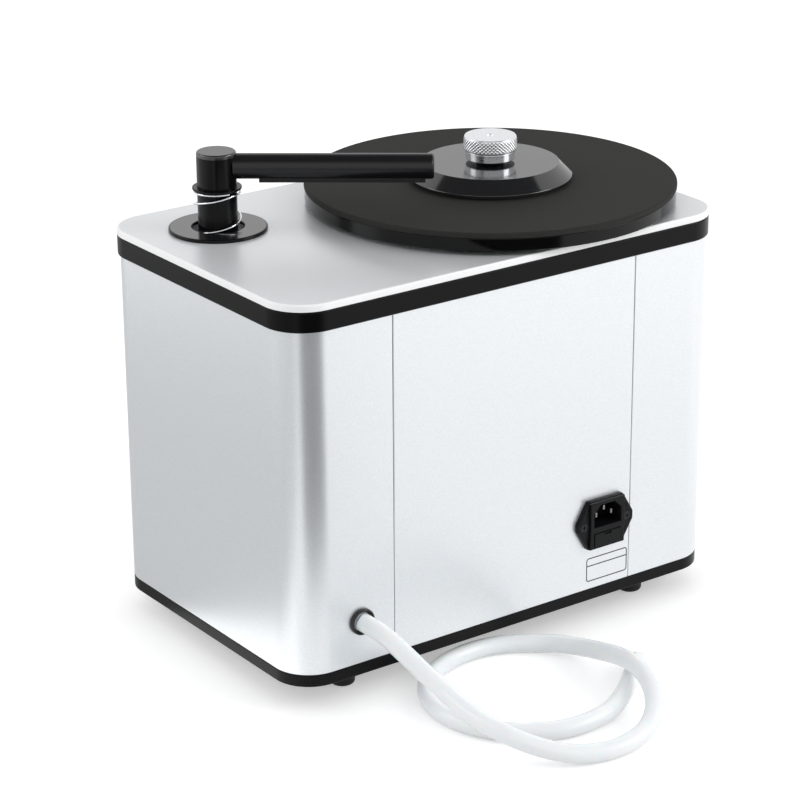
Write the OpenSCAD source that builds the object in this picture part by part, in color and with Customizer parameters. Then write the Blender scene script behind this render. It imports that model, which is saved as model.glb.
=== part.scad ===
// Record cleaning machine: a vacuum arm over a driven platter, on a sheet metal case.
// The rear, with the power inlet and the drain hose, faces +Y. The floor is Z = 0.

/* [Case] */
// Width of the case over its side covers
body_w = 372; // [350:1:400]
// Depth of the case over its front and rear panels
body_d = 237; // [228:1:250]
// Outside radius of the upright corners
corner_r = 28; // [22:1:36]
// Height of the covers and panels
panel_h = 248; // [235:1:270]
// Sheet thickness of the covers and panels
panel_t = 2; // [1.5:0.1:3]
// Joint left between two neighbouring sheets
seam_gap = 0.4; // [0.2:0.1:0.8]
// Return of a side cover on the front and rear faces
cover_return = 80.6; // [74:0.1:86]
// Height of the base tray's band
base_h = 9; // [7:0.5:14]
// Thickness of the base tray's floor
base_t = 2; // [1.5:0.1:3]
// Height of the top trim's band
trim_h = 14.5; // [12:0.5:20]
// Overhang of the trim past the covers
trim_over = 2; // [1:0.5:4]
// Thickness of the trim's inner ledge
ledge_t = 4; // [3:0.5:6]
// Width of the trim's inner ledge
ledge_w = 22; // [18:1:26]
// Thickness of the top plate
plate_t = 5; // [4:0.5:7]
// Chamfer round the top plate
plate_chamfer = 1.2; // [0.5:0.1:2]
// Width of an upright post behind a seam
post_w = 14; // [12:0.5:14]
// Depth of an upright post
post_d = 10; // [8:1:12]

/* [Feet and screws] */
// Diameter of a rubber foot
foot_d = 18; // [14:1:22]
// Height of a rubber foot
foot_h = 18; // [15:1:24]
// Foot's distance in from the side of the case
foot_inset_x = 55; // [45:1:65]
// Foot's distance in from the front or rear of the case
foot_inset_y = 28; // [24:1:36]
// Thread diameter of the case screws
screw_d = 4; // [3:0.5:5]
// Head height of the case screws
head_h = 2; // [1.5:0.1:3]

/* [Platter] */
// Radius of the mat, which is the machine's widest circle
mat_r = 135; // [130:1:140]
// Thickness of the mat
mat_t = 4; // [2:0.5:6]
// Distance that the mat reaches past the platter
mat_over = 0.5; // [0.3:0.1:3]
// Thickness of the platter
platter_t = 9.3; // [8:0.1:12]
// Running gap between the top plate and the platter
platter_gap = 3.2; // [3:0.1:5]
// Distance of the spindle in from the trim's right side
spindle_inset = 121; // [116:1:130]
// Radius of the record spindle
spindle_r = 3.6; // [3.5:0.05:3.7]
// Radius of the spindle shaft in its bearing
shaft_r = 5; // [4.5:0.1:6]
// Radial clearance of a running fit
run_gap = 0.05; // [0.02:0.01:0.08]
// Radius of the hub flange under the platter
hub_r = 22; // [18:1:28]

/* [Record clamp] */
// Radius of the clamp disc at its rim
clamp_r = 60.3; // [56:0.1:64]
// Radius of the clamp disc's flat top
clamp_top_r = 49.6; // [46:0.1:54]
// Height of the clamp disc
clamp_h = 10.1; // [8:0.1:12]
// How far the rubber seal stands out under the disc
seal_h = 2.4; // [1.5:0.1:4]
// Radius of the knob over its knurling
knob_r = 19.3; // [17:0.1:22]
// Radius of the plain ring under the knurling
knob_ring_r = 17.9; // [16:0.1:18.3]
// Height of the knurled band
knurl_h = 10.5; // [8:0.5:14]
// Height of the plain ring under the knurling
ring_h = 6.4; // [4:0.1:8]
// Height of the neck between the disc and the knob
neck_h = 2.2; // [2:0.1:5]
// Depth of the diamond knurling
knurl_depth = 0.6; // [0.3:0.1:0.8]
// Knurl points round the knob, an even number
knurl_count = 84; // [60:2:96]

/* [Suction arm] */
// Column's distance in from the trim's left side
column_inset_x = 58.5; // [50:0.5:66]
// Column's distance in from the trim's front side
column_inset_y = 62.8; // [58:0.1:66]
// Outside radius of the column
column_r = 14; // [13:0.1:15]
// Wall of the column tube
column_wall = 2.5; // [2:0.1:3]
// Height of the arm tube's axis above the top plate
arm_rise = 46; // [43:0.5:50]
// Height of the column's top above the arm tube's axis
column_over = 10.9; // [10.5:0.1:14]
// Outside radius of the arm tube
arm_r = 9; // [8:0.1:9.5]
// Wall of the arm tube
arm_wall = 1.5; // [1:0.1:2]
// Reach from the column's axis to the arm's end
arm_reach = 151.9; // [148:0.1:156]
// Direction of the arm at rest, from +X towards +Y
arm_angle = 142.8; // [140:0.1:146]
// Start of the suction slot's pads, from the column's axis
pad_start = 29.9; // [26:0.1:36]
// Length of the pads
pad_len = 116; // [108:0.5:118]
// Width of one pad
pad_w = 4.5; // [3.5:0.1:5]
// Height of the pads under the tube
pad_h = 1.6; // [1:0.1:2.5]
// Width of the suction slot
slot_w = 2.4; // [2:0.1:3]
// Outside radius of the collar above the spring
collar_r = 17.5; // [17.3:0.1:18.2]
// Thickness of the collar
collar_t = 1.6; // [1.4:0.1:3]
// Outside radius of the flange ring on the top plate
flange_r = 35; // [32:0.5:40]
// Thickness of the flange ring
flange_t = 2.5; // [2:0.1:4]
// Radius of the hole that the column and spring pass through
well_r = 19; // [18.5:0.1:20]
// Height of the spring seat below the top plate's face
seat_depth = 32.5; // [30:0.5:36]
// Height of the swivel sleeve under the spring
sleeve_h = 30; // [24:1:34]
// Diameter of the spring wire
wire_d = 1.5; // [1.2:0.1:1.8]
// Height from the top plate's face to the collar's underside
collar_rise = 29.8; // [26:0.1:31]
// Pitch of the spring's open turns
spring_pitch = 21.7; // [18:0.1:26]
// Pitch of the spring's closed end turns
end_pitch = 2; // [2:0.1:4]
// Downward travel of the arm on to a record
arm_travel = 18.5; // [17:0.5:18.5]

/* [Power inlet] */
// Distance of the inlet's middle from the right seam
inlet_inset = 25.3; // [23:0.1:40]
// Height of the inlet's middle above the base tray's underside
inlet_rise = 60.5; // [50:0.5:70]
// Width of the inlet's flange over its ears
inlet_w = 51; // [48:0.5:54]
// Height of the inlet's flange
inlet_h = 38; // [38:0.5:44]
// Thickness of the inlet's flange
inlet_t = 4; // [3:0.1:4.5]
// How far the inlet's middle stands out past the flange
inlet_proud = 2; // [1.5:0.1:4]
// Distance between the inlet's two screws
inlet_screw_pitch = 40; // [39:0.5:41]
// Width of the plug recess
recess_w = 25; // [24:0.1:25]
// Height of the plug recess
recess_h = 17; // [16:0.1:17]
// Depth of the plug recess
recess_depth = 16.5; // [15:0.5:18]
// Width of the fuse drawer
drawer_w = 24.5; // [23:0.5:24.5]
// Height of the fuse drawer
drawer_h = 11; // [9:0.5:11]
// Depth of the fuse drawer
drawer_depth = 25; // [22:1:28]

/* [Drain] */
// Distance of the drain bush from the case's left side
drain_inset = 52.5; // [45:0.5:60]
// Height of the drain bush above the base tray's underside
drain_rise = 40.5; // [36:0.5:50]
// Outside radius of the drain hose
hose_r = 6.5; // [6:0.1:7]
// Wall of the drain hose
hose_wall = 2; // [1.5:0.1:2.5]
// Outside radius of the drain bush
bush_r = 9.6; // [9.5:0.1:13]
// How far the bush stands out from the cover
bush_proud = 3; // [2:0.1:5]

/* [Platter drive] */
// Radius of the gear motor's gearbox
gearbox_r = 18.5; // [16:0.5:22]
// Height of the gearbox
gearbox_h = 24; // [18:1:30]
// Height of the motor can under the gearbox
can_h = 44; // [36:1:50]
// Sheet thickness of the motor bracket
bracket_t = 3; // [2:0.5:4]
// Length of the spindle bearing below the top plate
bearing_len = 28; // [24:1:34]

/* [Vacuum] */
// Radius of the fan housing
fan_r = 60; // [55:1:66]
// Height of the fan housing
fan_h = 40; // [34:1:48]
// Radius of the vacuum motor
vac_r = 42; // [36:1:48]
// Height of the vacuum motor
vac_h = 58; // [50:1:64]
// Outside radius of the vacuum hose and its spigots
duct_r = 16; // [14:0.5:18]
// Wall of the vacuum hose
duct_wall = 2; // [1.5:0.1:3]
// Length of the waste tank, front to rear
tank_d = 176; // [160:1:184]
// Width of the waste tank
tank_w = 124; // [110:1:130]
// Height of the waste tank
tank_h = 112; // [100:1:118]
// Wall of the waste tank
tank_wall = 2.5; // [2:0.1:3.5]
// Height of the rails under the tank
rail_h = 28; // [24:1:32]

/* [Switches] */
// Width of a switch's bezel
bezel_w = 32; // [30:0.5:36]
// Height of a switch's bezel
bezel_h = 25; // [23:0.5:28]
// Distance between the two switches
switch_pitch = 48; // [42:1:56]
// Tilt of a rocker at the end of its throw
rocker_tilt = 9; // [6:0.5:10]

/* [Hidden] */
$fn = 72;
// Overlap that makes a cut run clean through a face
cut = 1;

// Heights of the stack, from the floor up
z_base = foot_h;
z_floor = z_base + base_t;
z_panel = z_base + base_h;
z_trim = z_panel + panel_h;
z_plate = z_trim + trim_h;
z_top = z_plate + plate_t;
z_platter = z_top + platter_gap;
z_mat = z_platter + platter_t;
z_deck = z_mat + mat_t;
z_clamp = z_deck + seal_h;
z_clamp_top = z_clamp + clamp_h;
z_ring = z_clamp_top + neck_h;
z_knurl = z_ring + ring_h;
z_knob_top = z_knurl + knurl_h;
z_ledge = z_plate - ledge_t;

// Plan sizes, with the origin midway between the platter's edge and the trim's far side
trim_w = body_w + 2 * trim_over;
trim_d = body_d + 2 * trim_over;
trim_r = corner_r + trim_over;
trim_wall = trim_over + panel_t;
platter_r = mat_r - mat_over;
case_x = (mat_r - spindle_inset) / 2;
spindle_x = case_x - trim_w / 2 + spindle_inset;
column_x = case_x + trim_w / 2 - column_inset_x;
column_y = -trim_d / 2 + column_inset_y;
rear_y = body_d / 2;
wall_y = rear_y - panel_t;
seam_x = body_w / 2 - cover_return;
post_x = seam_x;
deck_screw_head_r = 3.5;

// Arm heights
arm_z = z_top + arm_rise;
collar_z = z_top + collar_rise;
seat_z = z_top - seat_depth;
sleeve_z = seat_z - sleeve_h;
sleeve_r = well_r - 2;
guide_r = well_r + 4;
column_foot = sleeve_z - 27;
guide_foot = column_foot - arm_travel - 5;
spring_h = collar_rise + seat_depth;
spring_r = (column_r + well_r) / 2 - 0.3;

// Rounded rectangle that is made of true arcs
module rounded_rect(w, d, r) {
  square([w - 2 * r, d], center = true);
  square([w, d - 2 * r], center = true);
  for (sx = [-1, 1], sy = [-1, 1])
    translate([sx * (w / 2 - r), sy * (d / 2 - r)])
      circle(r);
}

module rounded_block(w, d, h, r) {
  linear_extrude(h)
    rounded_rect(w, d, r);
}

// Rounded slab whose upper edge has a straight chamfer all round
module chamfered_slab(w, d, h, r, c) {
  profile = function (s) [[-s / 2, 0], [s / 2, 0], [s / 2, h - c], [s / 2 - c, h], [-s / 2 + c, h], [-s / 2, h - c]];
  rotate([90, 0, 90])
    translate([0, 0, -(w / 2 - r)])
      linear_extrude(w - 2 * r)
        polygon(profile(d));
  rotate([90, 0, 0])
    translate([0, 0, -(d / 2 - r)])
      linear_extrude(d - 2 * r)
        polygon(profile(w));
  for (sx = [-1, 1], sy = [-1, 1])
    translate([sx * (w / 2 - r), sy * (d / 2 - r), 0]) {
      cylinder(h - c, r, r);
      translate([0, 0, h - c])
        cylinder(c, r, r - c);
    }
}

module tube(h, r, wall) {
  difference() {
    cylinder(h, r, r);
    translate([0, 0, -cut])
      cylinder(h + 2 * cut, r - wall, r - wall);
  }
}

// Pan head screw whose head sits on Z = 0 and whose thread points down
module pan_screw(len, d = screw_d) {
  cylinder(head_h, d * 0.9, d * 0.75);
  translate([0, 0, -len])
    cylinder(len, d / 2, d / 2);
}

module on_case()
  translate([case_x, 0, 0])
    children();

module at_spindle(z = 0)
  translate([spindle_x, 0, z])
    children();

module at_column(z = 0)
  translate([column_x, column_y, z])
    children();

module at_feet()
  on_case()
    for (sx = [-1, 1], sy = [-1, 1])
      translate([sx * (body_w / 2 - foot_inset_x), sy * (rear_y - foot_inset_y), 0])
        children();

module at_posts(z = 0)
  on_case()
    for (sx = [-1, 1], sy = [-1, 1])
      translate([sx * post_x, sy * (wall_y - post_d / 2), z])
        children();

// Case

vent_count = 9;
vent_pitch = 9;
vent_len = 60;
vent_w = 4;
band_wall = panel_t;

module base_tray() {
  color([0.12, 0.12, 0.13])
    difference() {
      on_case()
        difference() {
          rounded_tray();
          translate([0, 0, z_floor])
            rounded_block(body_w - 2 * band_wall, body_d - 2 * band_wall, base_h, corner_r - band_wall);
        }
      at_feet()
        translate([0, 0, z_base - cut])
          cylinder(base_t + 2 * cut, screw_d / 2, screw_d / 2);
      at_posts(z_base - cut)
        cylinder(base_t + 2 * cut, screw_d / 2, screw_d / 2);
      translate([vac_x, vac_y, z_base - cut])
        for (i = [0 : vent_count - 1])
          translate([(i - (vent_count - 1) / 2) * vent_pitch, 0, 0])
            rounded_block(vent_w, vent_len, base_t + 2 * cut, vent_w / 2 - 0.01);
    }
}

module rounded_tray()
  translate([0, 0, z_base])
    rounded_block(body_w, body_d, base_h, corner_r);

foot_edge = 3;
foot_recess = 3;

module feet() {
  color([0.06, 0.06, 0.06])
    at_feet()
      rotate_extrude()
        difference() {
          union() {
            square([foot_d / 2 - foot_edge, foot_h]);
            translate([0, foot_edge])
              square([foot_d / 2, foot_h - foot_edge]);
            translate([foot_d / 2 - foot_edge, foot_edge])
              circle(foot_edge);
          }
          translate([-foot_d, -cut])
            square([foot_d, foot_h + 2 * cut]);
          translate([-cut, -cut])
            square([screw_d * 0.9 + 0.3 + cut, foot_recess + cut]);
          translate([-cut, 0])
            square([screw_d / 2 + cut, foot_h + cut]);
        }
}

module foot_screws() {
  color([0.75, 0.75, 0.77])
    at_feet()
      translate([0, 0, foot_recess])
        mirror([0, 0, 1])
          pan_screw(foot_h - foot_recess + base_t + 2);
}

// Wrap-round sheet shared by the two side covers: a ring cut off at the seam
module cover_ring(side) {
  translate([0, 0, z_panel])
    linear_extrude(panel_h)
      intersection() {
        difference() {
          rounded_rect(body_w, body_d, corner_r);
          rounded_rect(body_w - 2 * panel_t, body_d - 2 * panel_t, corner_r - panel_t);
        }
        translate([side > 0 ? seam_x + seam_gap / 2 : -body_w, -body_d])
          square([side > 0 ? body_w : body_w - seam_x - seam_gap / 2, 2 * body_d]);
      }
}

module left_cover() {
  color([0.93, 0.94, 0.95])
    difference() {
      on_case()
        cover_ring(1);
      translate([drain_x, rear_y + cut, drain_z])
        rotate([90, 0, 0])
          cylinder(panel_t + 2 * cut, bush_r - 2, bush_r - 2);
    }
}

module right_cover() {
  color([0.93, 0.94, 0.95])
    difference() {
      on_case()
        cover_ring(-1);
      inlet_screw_holes();
    }
}

module flat_panel(y) {
  on_case()
    translate([-seam_x + seam_gap / 2, y, z_panel])
      cube([2 * seam_x - seam_gap, panel_t, panel_h]);
}

module rear_panel() {
  color([0.94, 0.95, 0.96])
    difference() {
      flat_panel(wall_y);
      translate([inlet_x, rear_y + cut, inlet_z])
        rotate([90, 0, 0])
          linear_extrude(panel_t + 2 * cut)
            square([inlet_body_w + 2 * slide_gap, inlet_body_h + 2 * slide_gap], center = true);
      inlet_screw_holes();
    }
}

module front_panel() {
  color([0.94, 0.95, 0.96])
    difference() {
      flat_panel(-rear_y);
      at_switches()
        translate([-switch_body_w / 2, -cut, -switch_body_h / 2])
          cube([switch_body_w, panel_t + 2 * cut, switch_body_h]);
    }
}

module seam_posts() {
  color([0.7, 0.71, 0.73])
    difference() {
      at_posts(z_floor)
        translate([-post_w / 2, -post_d / 2, 0])
          cube([post_w, post_d, z_ledge - z_floor]);
      at_posts(z_floor - cut)
        cylinder(post_hole + cut, screw_d / 2, screw_d / 2);
      at_posts(z_ledge - post_hole)
        cylinder(post_hole + cut, screw_d / 2, screw_d / 2);
      inlet_screw_holes();
    }
}

post_hole = 12;

module post_screws() {
  color([0.3, 0.3, 0.32]) {
    at_posts(z_base)
      mirror([0, 0, 1])
        pan_screw(base_t + post_hole);
    at_posts(z_plate - head_h)
      pan_screw(ledge_t - head_h + post_hole);
  }
}

module top_trim() {
  color([0.13, 0.14, 0.15])
    difference() {
      on_case()
        difference() {
          translate([0, 0, z_trim])
            rounded_block(trim_w, trim_d, trim_h, trim_r);
          translate([0, 0, z_trim - cut])
            rounded_block(trim_w - 2 * trim_wall, trim_d - 2 * trim_wall, trim_h - ledge_t + cut, trim_r - trim_wall);
          translate([0, 0, z_trim])
            rounded_block(trim_w - 2 * (trim_wall + ledge_w), trim_d - 2 * (trim_wall + ledge_w), trim_h + cut, 8);
        }
      at_posts(z_ledge - cut)
        cylinder(ledge_t + 2 * cut, screw_d / 2, screw_d / 2);
      at_posts(z_plate - head_h)
        cylinder(head_h + cut, screw_d, screw_d);
      at_plate_screws(z_ledge - cut)
        cylinder(ledge_t + 2 * cut, screw_d / 2, screw_d / 2);
    }
}

// Screws that come up through the ledge into the top plate
module at_plate_screws(z = 0)
  on_case()
    for (sx = [-1, 1], sy = [-1, 0, 1])
      translate([sx * (trim_w / 2 - trim_wall - ledge_w / 2), sy * (trim_d / 2 - trim_r), z])
        children();

// Screws that hold the bearing and the arm guide under the top plate
bearing_pcd_r = 17;
guide_flange_r = guide_r + 8;
guide_pcd_r = (guide_r + guide_flange_r) / 2;

module at_bearing_screws(z = 0)
  at_spindle(z)
    for (a = [0 : 120 : 240])
      rotate(a)
        translate([bearing_pcd_r, 0, 0])
          children();

module at_guide_screws(z = 0)
  at_column(z)
    for (a = [45 : 90 : 315])
      rotate(a)
        translate([guide_pcd_r, 0, 0])
          children();

thread_depth = 3.5;
bearing_hole_r = shaft_r + 4;

module top_plate() {
  color([0.78, 0.79, 0.8])
    difference() {
      on_case()
        translate([0, 0, z_plate])
          chamfered_slab(trim_w, trim_d, plate_t, trim_r, plate_chamfer);
      at_spindle(z_plate - cut)
        cylinder(plate_t + 2 * cut, bearing_hole_r, bearing_hole_r);
      at_column(z_plate - cut)
        cylinder(plate_t + 2 * cut, well_r, well_r);
      at_plate_screws(z_plate - cut)
        cylinder(thread_depth + cut, screw_d / 2, screw_d / 2);
      at_bearing_screws(z_plate - cut)
        cylinder(thread_depth + cut, screw_d / 2, screw_d / 2);
      at_guide_screws(z_plate - cut)
        cylinder(thread_depth + cut, screw_d / 2, screw_d / 2);
      at_bracket_legs(z_plate - cut)
        cylinder(thread_depth + cut, screw_d / 2, screw_d / 2);
    }
}

bearing_flange_t = 4;
guide_flange_t = 4;

module deck_screws() {
  color([0.6, 0.6, 0.62]) {
    at_plate_screws(z_ledge)
      mirror([0, 0, 1])
        pan_screw(ledge_t + thread_depth);
    at_bearing_screws(z_plate - bearing_flange_t)
      mirror([0, 0, 1])
        pan_screw(bearing_flange_t + thread_depth);
    at_guide_screws(z_plate - guide_flange_t)
      mirror([0, 0, 1])
        pan_screw(guide_flange_t + thread_depth);
    at_bracket_legs(z_plate - bracket_t)
      mirror([0, 0, 1])
        pan_screw(bracket_t + thread_depth);
  }
}

// Suction arm

flange_edge = 0.8;

module arm_flange() {
  color([0.08, 0.08, 0.09])
    at_column(z_top)
      rotate_extrude()
        polygon([
          [well_r, 0], [flange_r, 0], [flange_r, flange_t - flange_edge],
          [flange_r - flange_edge, flange_t], [well_r + flange_edge / 2, flange_t], [well_r, flange_t - flange_edge / 2]
        ]);
}

module arm_guide() {
  color([0.35, 0.36, 0.38])
    difference() {
      at_column()
        rotate_extrude()
          polygon([
            [column_r + 1, guide_foot], [column_r + 4, guide_foot], [column_r + 4, sleeve_z - seal_t - 4],
            [guide_r, sleeve_z - seal_t], [guide_r, z_plate - guide_flange_t],
            [guide_flange_r, z_plate - guide_flange_t], [guide_flange_r, z_plate], [well_r, z_plate],
            [well_r, seat_z], [sleeve_r + run_gap, seat_z], [sleeve_r + run_gap, sleeve_z - seal_t],
            [column_r + 1, sleeve_z - seal_t]
          ]);
      at_guide_screws(z_plate - guide_flange_t - cut)
        cylinder(guide_flange_t + 2 * cut, screw_d / 2, screw_d / 2);
    }
}

seal_t = 5;

module swivel_sleeve() {
  color([0.7, 0.55, 0.3])
    at_column(sleeve_z)
      tube(sleeve_h, sleeve_r, sleeve_r - column_r - run_gap);
}

module column_seal() {
  color([0.1, 0.1, 0.1])
    at_column(sleeve_z - seal_t)
      tube(seal_t, sleeve_r, sleeve_r - column_r - run_gap);
}

// Spring wire, one unbroken helix with closed end turns
spring_free = spring_h - wire_d;
spring_open = (spring_free - 2 * end_pitch) / spring_pitch;
spring_turns = spring_open + 2;
spring_phase = 233;
spring_steps = 8;
wire_sides = 6;

function spring_climb(t) =
  t < 1 ? t * end_pitch :
  t < spring_turns - 1 ? end_pitch + (t - 1) * spring_pitch :
  spring_free - (spring_turns - t) * end_pitch;

function spring_centre(t) =
  let (a = spring_phase + 360 * t)
  [spring_r * cos(a), spring_r * sin(a), seat_z + wire_d / 2 + spring_climb(t)];

// Points and faces of a solid tube along a list of centre points
function unit(v) = v / norm(v);
function heading(p, i) = unit(p[min(i + 1, len(p) - 1)] - p[max(i - 1, 0)]);
function across(t) = norm([t[0], t[1]]) < 0.01 ? [0, -1, 0] : unit(cross(t, [0, 0, 1]));
function ring_points(p, i, r, sides, side = undef) =
  let (t = heading(p, i), s = is_undef(side) ? across(t) : side, u = cross(s, t))
  [for (k = [0 : sides - 1]) p[i] + r * (cos(360 * (k + 0.5) / sides) * s + sin(360 * (k + 0.5) / sides) * u)];
function skin_faces(rings, sides, from = 0, flip = false) =
  [for (i = [0 : rings - 2], k = [0 : sides - 1])
    let (a = from + i * sides + k, b = from + i * sides + (k + 1) % sides, c = b + sides, d = a + sides)
    each flip ? [[a, c, b], [a, d, c]] : [[a, b, c], [a, c, d]]];

module solid_tube(p, r, sides) {
  n = len(p);
  points = [for (i = [0 : n - 1]) each ring_points(p, i, r, sides)];
  near = [for (k = [1 : sides - 2]) [0, k + 1, k]];
  far = [for (k = [1 : sides - 2]) (n - 1) * sides * [1, 1, 1] + [0, k, k + 1]];
  polyhedron(points, concat(skin_faces(n, sides), near, far));
}

module hollow_tube(p, r, bore, sides, side = undef) {
  n = len(p);
  outer = [for (i = [0 : n - 1]) each ring_points(p, i, r, sides, side)];
  inner = [for (i = [0 : n - 1]) each ring_points(p, i, bore, sides, side)];
  m = n * sides;
  last = (n - 1) * sides;
  near = [for (k = [0 : sides - 1]) let (j = (k + 1) % sides) each [[k, m + j, j], [k, m + k, m + j]]];
  far = [for (k = [0 : sides - 1]) let (j = (k + 1) % sides)
    each [[last + k, last + j, m + last + j], [last + k, m + last + j, m + last + k]]];
  polyhedron(concat(outer, inner), concat(skin_faces(n, sides), skin_faces(n, sides, m, true), near, far));
}

spring_path = [for (i = [0 : floor(spring_turns * spring_steps)]) spring_centre(i / spring_steps)];

module arm_spring() {
  color([0.85, 0.86, 0.88])
    at_column()
      solid_tube(spring_path, wire_d / 2, wire_sides);
}

module arm_collar() {
  color([0.07, 0.07, 0.08])
    at_column(collar_z)
      tube(collar_t, collar_r, collar_r - column_r);
}

cap_t = 3;
cap_edge = 0.8;

module arm_column() {
  color([0.1, 0.1, 0.11])
    difference() {
      at_column(column_foot)
        tube(column_top - cap_t - column_foot, column_r, column_wall);
      at_arm()
        rotate([0, 90, 0])
          cylinder(column_r + cut, arm_r, arm_r);
    }
}

column_top = arm_z + column_over;

module column_cap() {
  color([0.22, 0.22, 0.23])
    difference() {
      at_column(column_top - cap_t)
        rotate_extrude()
          polygon([[0, 0], [column_r, 0], [column_r, cap_t - cap_edge], [column_r - cap_edge, cap_t], [0, cap_t]]);
      at_arm()
        rotate([0, 90, 0])
          cylinder(column_r + cut, arm_r, arm_r);
    }
}

// Frame of the arm: X runs along the tube from the column's axis
module at_arm()
  at_column(arm_z)
    rotate([0, 0, arm_angle])
      children();

plug_t = 6;
plug_edge = 2;
slot_margin = 4;

module arm_tube() {
  color([0.09, 0.09, 0.1])
    at_arm()
      difference() {
        rotate([0, 90, 0])
          tube(arm_reach - plug_edge, arm_r, arm_wall);
        translate([0, 0, -column_r])
          cylinder(2 * column_r, column_r - column_wall, column_r - column_wall);
        translate([pad_start + slot_margin, -slot_w / 2, -arm_r - cut])
          cube([pad_len - 2 * slot_margin, slot_w, arm_r + cut]);
        translate([pad_start, -pad_w - slot_w / 2, -arm_r - cut])
          cube([pad_len, 2 * pad_w + slot_w, cut + arm_flat]);
      }
}

arm_flat = 1.2;

module arm_end_plug() {
  color([0.08, 0.08, 0.09])
    at_arm()
      translate([arm_reach - plug_edge, 0, 0])
        rotate([0, 90, 0]) {
          rotate_extrude() {
            square([arm_r - plug_edge, plug_edge]);
            intersection() {
              translate([arm_r - plug_edge, 0])
                circle(plug_edge);
              square([arm_r, plug_edge]);
            }
          }
          translate([0, 0, -plug_t])
            cylinder(plug_t, arm_r - arm_wall, arm_r - arm_wall);
        }
}

module slot_pads() {
  color([0.05, 0.05, 0.06])
    at_arm()
      for (s = [-1, 1])
        translate([pad_start, s * (slot_w + pad_w) / 2 - pad_w / 2, -arm_r - pad_h])
          cube([pad_len, pad_w, pad_h + arm_flat]);
}

// Platter and its drive

platter_edge = 0.6;
hub_boss_r = 9;
thrust_t = 0.7;
hub_t = platter_gap - thrust_t;

module platter() {
  color([0.3, 0.3, 0.32])
    difference() {
      at_spindle(z_platter)
        rotate_extrude()
          polygon([
            [hub_boss_r + run_gap, 0], [hub_r + 8, 0], [hub_r + 14, 3], [platter_r - 24, 3], [platter_r - 18, 0],
            [platter_r - platter_edge, 0], [platter_r, platter_edge], [platter_r, platter_t - platter_edge],
            [platter_r - platter_edge, platter_t], [hub_boss_r + run_gap, platter_t]
          ]);
      at_platter_screws(z_platter - cut)
        cylinder(platter_t + 2 * cut, screw_d / 2, screw_d / 2);
      at_platter_screws(z_mat - head_h - 0.2)
        cylinder(head_h + 0.2 + cut, screw_d, screw_d);
    }
}

module at_platter_screws(z = 0)
  at_spindle(z)
    for (a = [60 : 120 : 300])
      rotate(a)
        translate([(hub_boss_r + hub_r) / 2, 0, 0])
          children();

module platter_screws() {
  color([0.6, 0.6, 0.62])
    at_platter_screws(z_mat - head_h - 0.2)
      pan_screw(platter_t - head_h - 0.2 + hub_t);
}

mat_edge = 0.5;

module platter_mat() {
  color([0.26, 0.25, 0.24])
    at_spindle(z_mat)
      rotate_extrude()
        polygon([
          [spindle_r + run_gap, 0], [mat_r - mat_edge, 0], [mat_r, mat_edge], [mat_r, mat_t - mat_edge],
          [mat_r - mat_edge, mat_t], [spindle_r + run_gap, mat_t]
        ]);
}

spindle_top = z_clamp_top + neck_h + ring_h + 3;
spindle_foot = z_plate - bearing_len - 18;
spindle_tip = 1.2;

module spindle() {
  color([0.8, 0.81, 0.83])
    difference() {
      at_spindle()
        rotate_extrude()
          polygon([
            [0, spindle_foot], [shaft_r, spindle_foot], [shaft_r, z_top + thrust_t], [hub_r, z_top + thrust_t],
            [hub_r, z_platter], [hub_boss_r, z_platter], [hub_boss_r, z_mat], [spindle_r, z_mat],
            [spindle_r, spindle_top - spindle_tip], [spindle_r - spindle_tip, spindle_top], [0, spindle_top]
          ]);
      at_platter_screws(z_top)
        cylinder(platter_gap + cut, screw_d / 2, screw_d / 2);
    }
}

module thrust_washer() {
  color([0.72, 0.56, 0.3])
    at_spindle(z_top)
      tube(thrust_t, bearing_hole_r + 3, bearing_hole_r + 3 - shaft_r - run_gap);
}

bearing_flange_r = 24;
bearing_barrel_r = shaft_r + 5;

module spindle_bearing() {
  color([0.72, 0.56, 0.3])
    difference() {
      at_spindle()
        rotate_extrude()
          polygon([
            [shaft_r + run_gap, z_plate - bearing_len], [bearing_barrel_r, z_plate - bearing_len],
            [bearing_barrel_r, z_plate - bearing_flange_t], [bearing_flange_r, z_plate - bearing_flange_t],
            [bearing_flange_r, z_plate], [bearing_hole_r - run_gap, z_plate], [bearing_hole_r - run_gap, z_top],
            [shaft_r + run_gap, z_top]
          ]);
      at_bearing_screws(z_plate - bearing_flange_t - cut)
        cylinder(bearing_flange_t + 2 * cut, screw_d / 2, screw_d / 2);
    }
}

motor_shaft_r = 3;
coupler_r = shaft_r + 4;
coupler_h = 22;
coupler_z = spindle_foot - coupler_h / 2 + 1;
z_bracket = coupler_z - 1.5 - bracket_t;
bracket_drop = z_plate - z_bracket;
shaft_top = spindle_foot - 1;

module shaft_coupler() {
  color([0.75, 0.76, 0.78])
    at_spindle()
      difference() {
        translate([0, 0, coupler_z])
          cylinder(coupler_h, coupler_r, coupler_r);
        translate([0, 0, spindle_foot])
          cylinder(coupler_h, shaft_r, shaft_r);
        translate([0, 0, coupler_z - cut])
          cylinder(coupler_h, motor_shaft_r, motor_shaft_r);
      }
}

module motor_shaft() {
  color([0.8, 0.81, 0.83])
    at_spindle(z_bracket - gearbox_h + 4)
      cylinder(shaft_top - z_bracket + gearbox_h - 4, motor_shaft_r, motor_shaft_r);
}

can_r = gearbox_r - 1.5;
pilot_r = 7;

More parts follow.
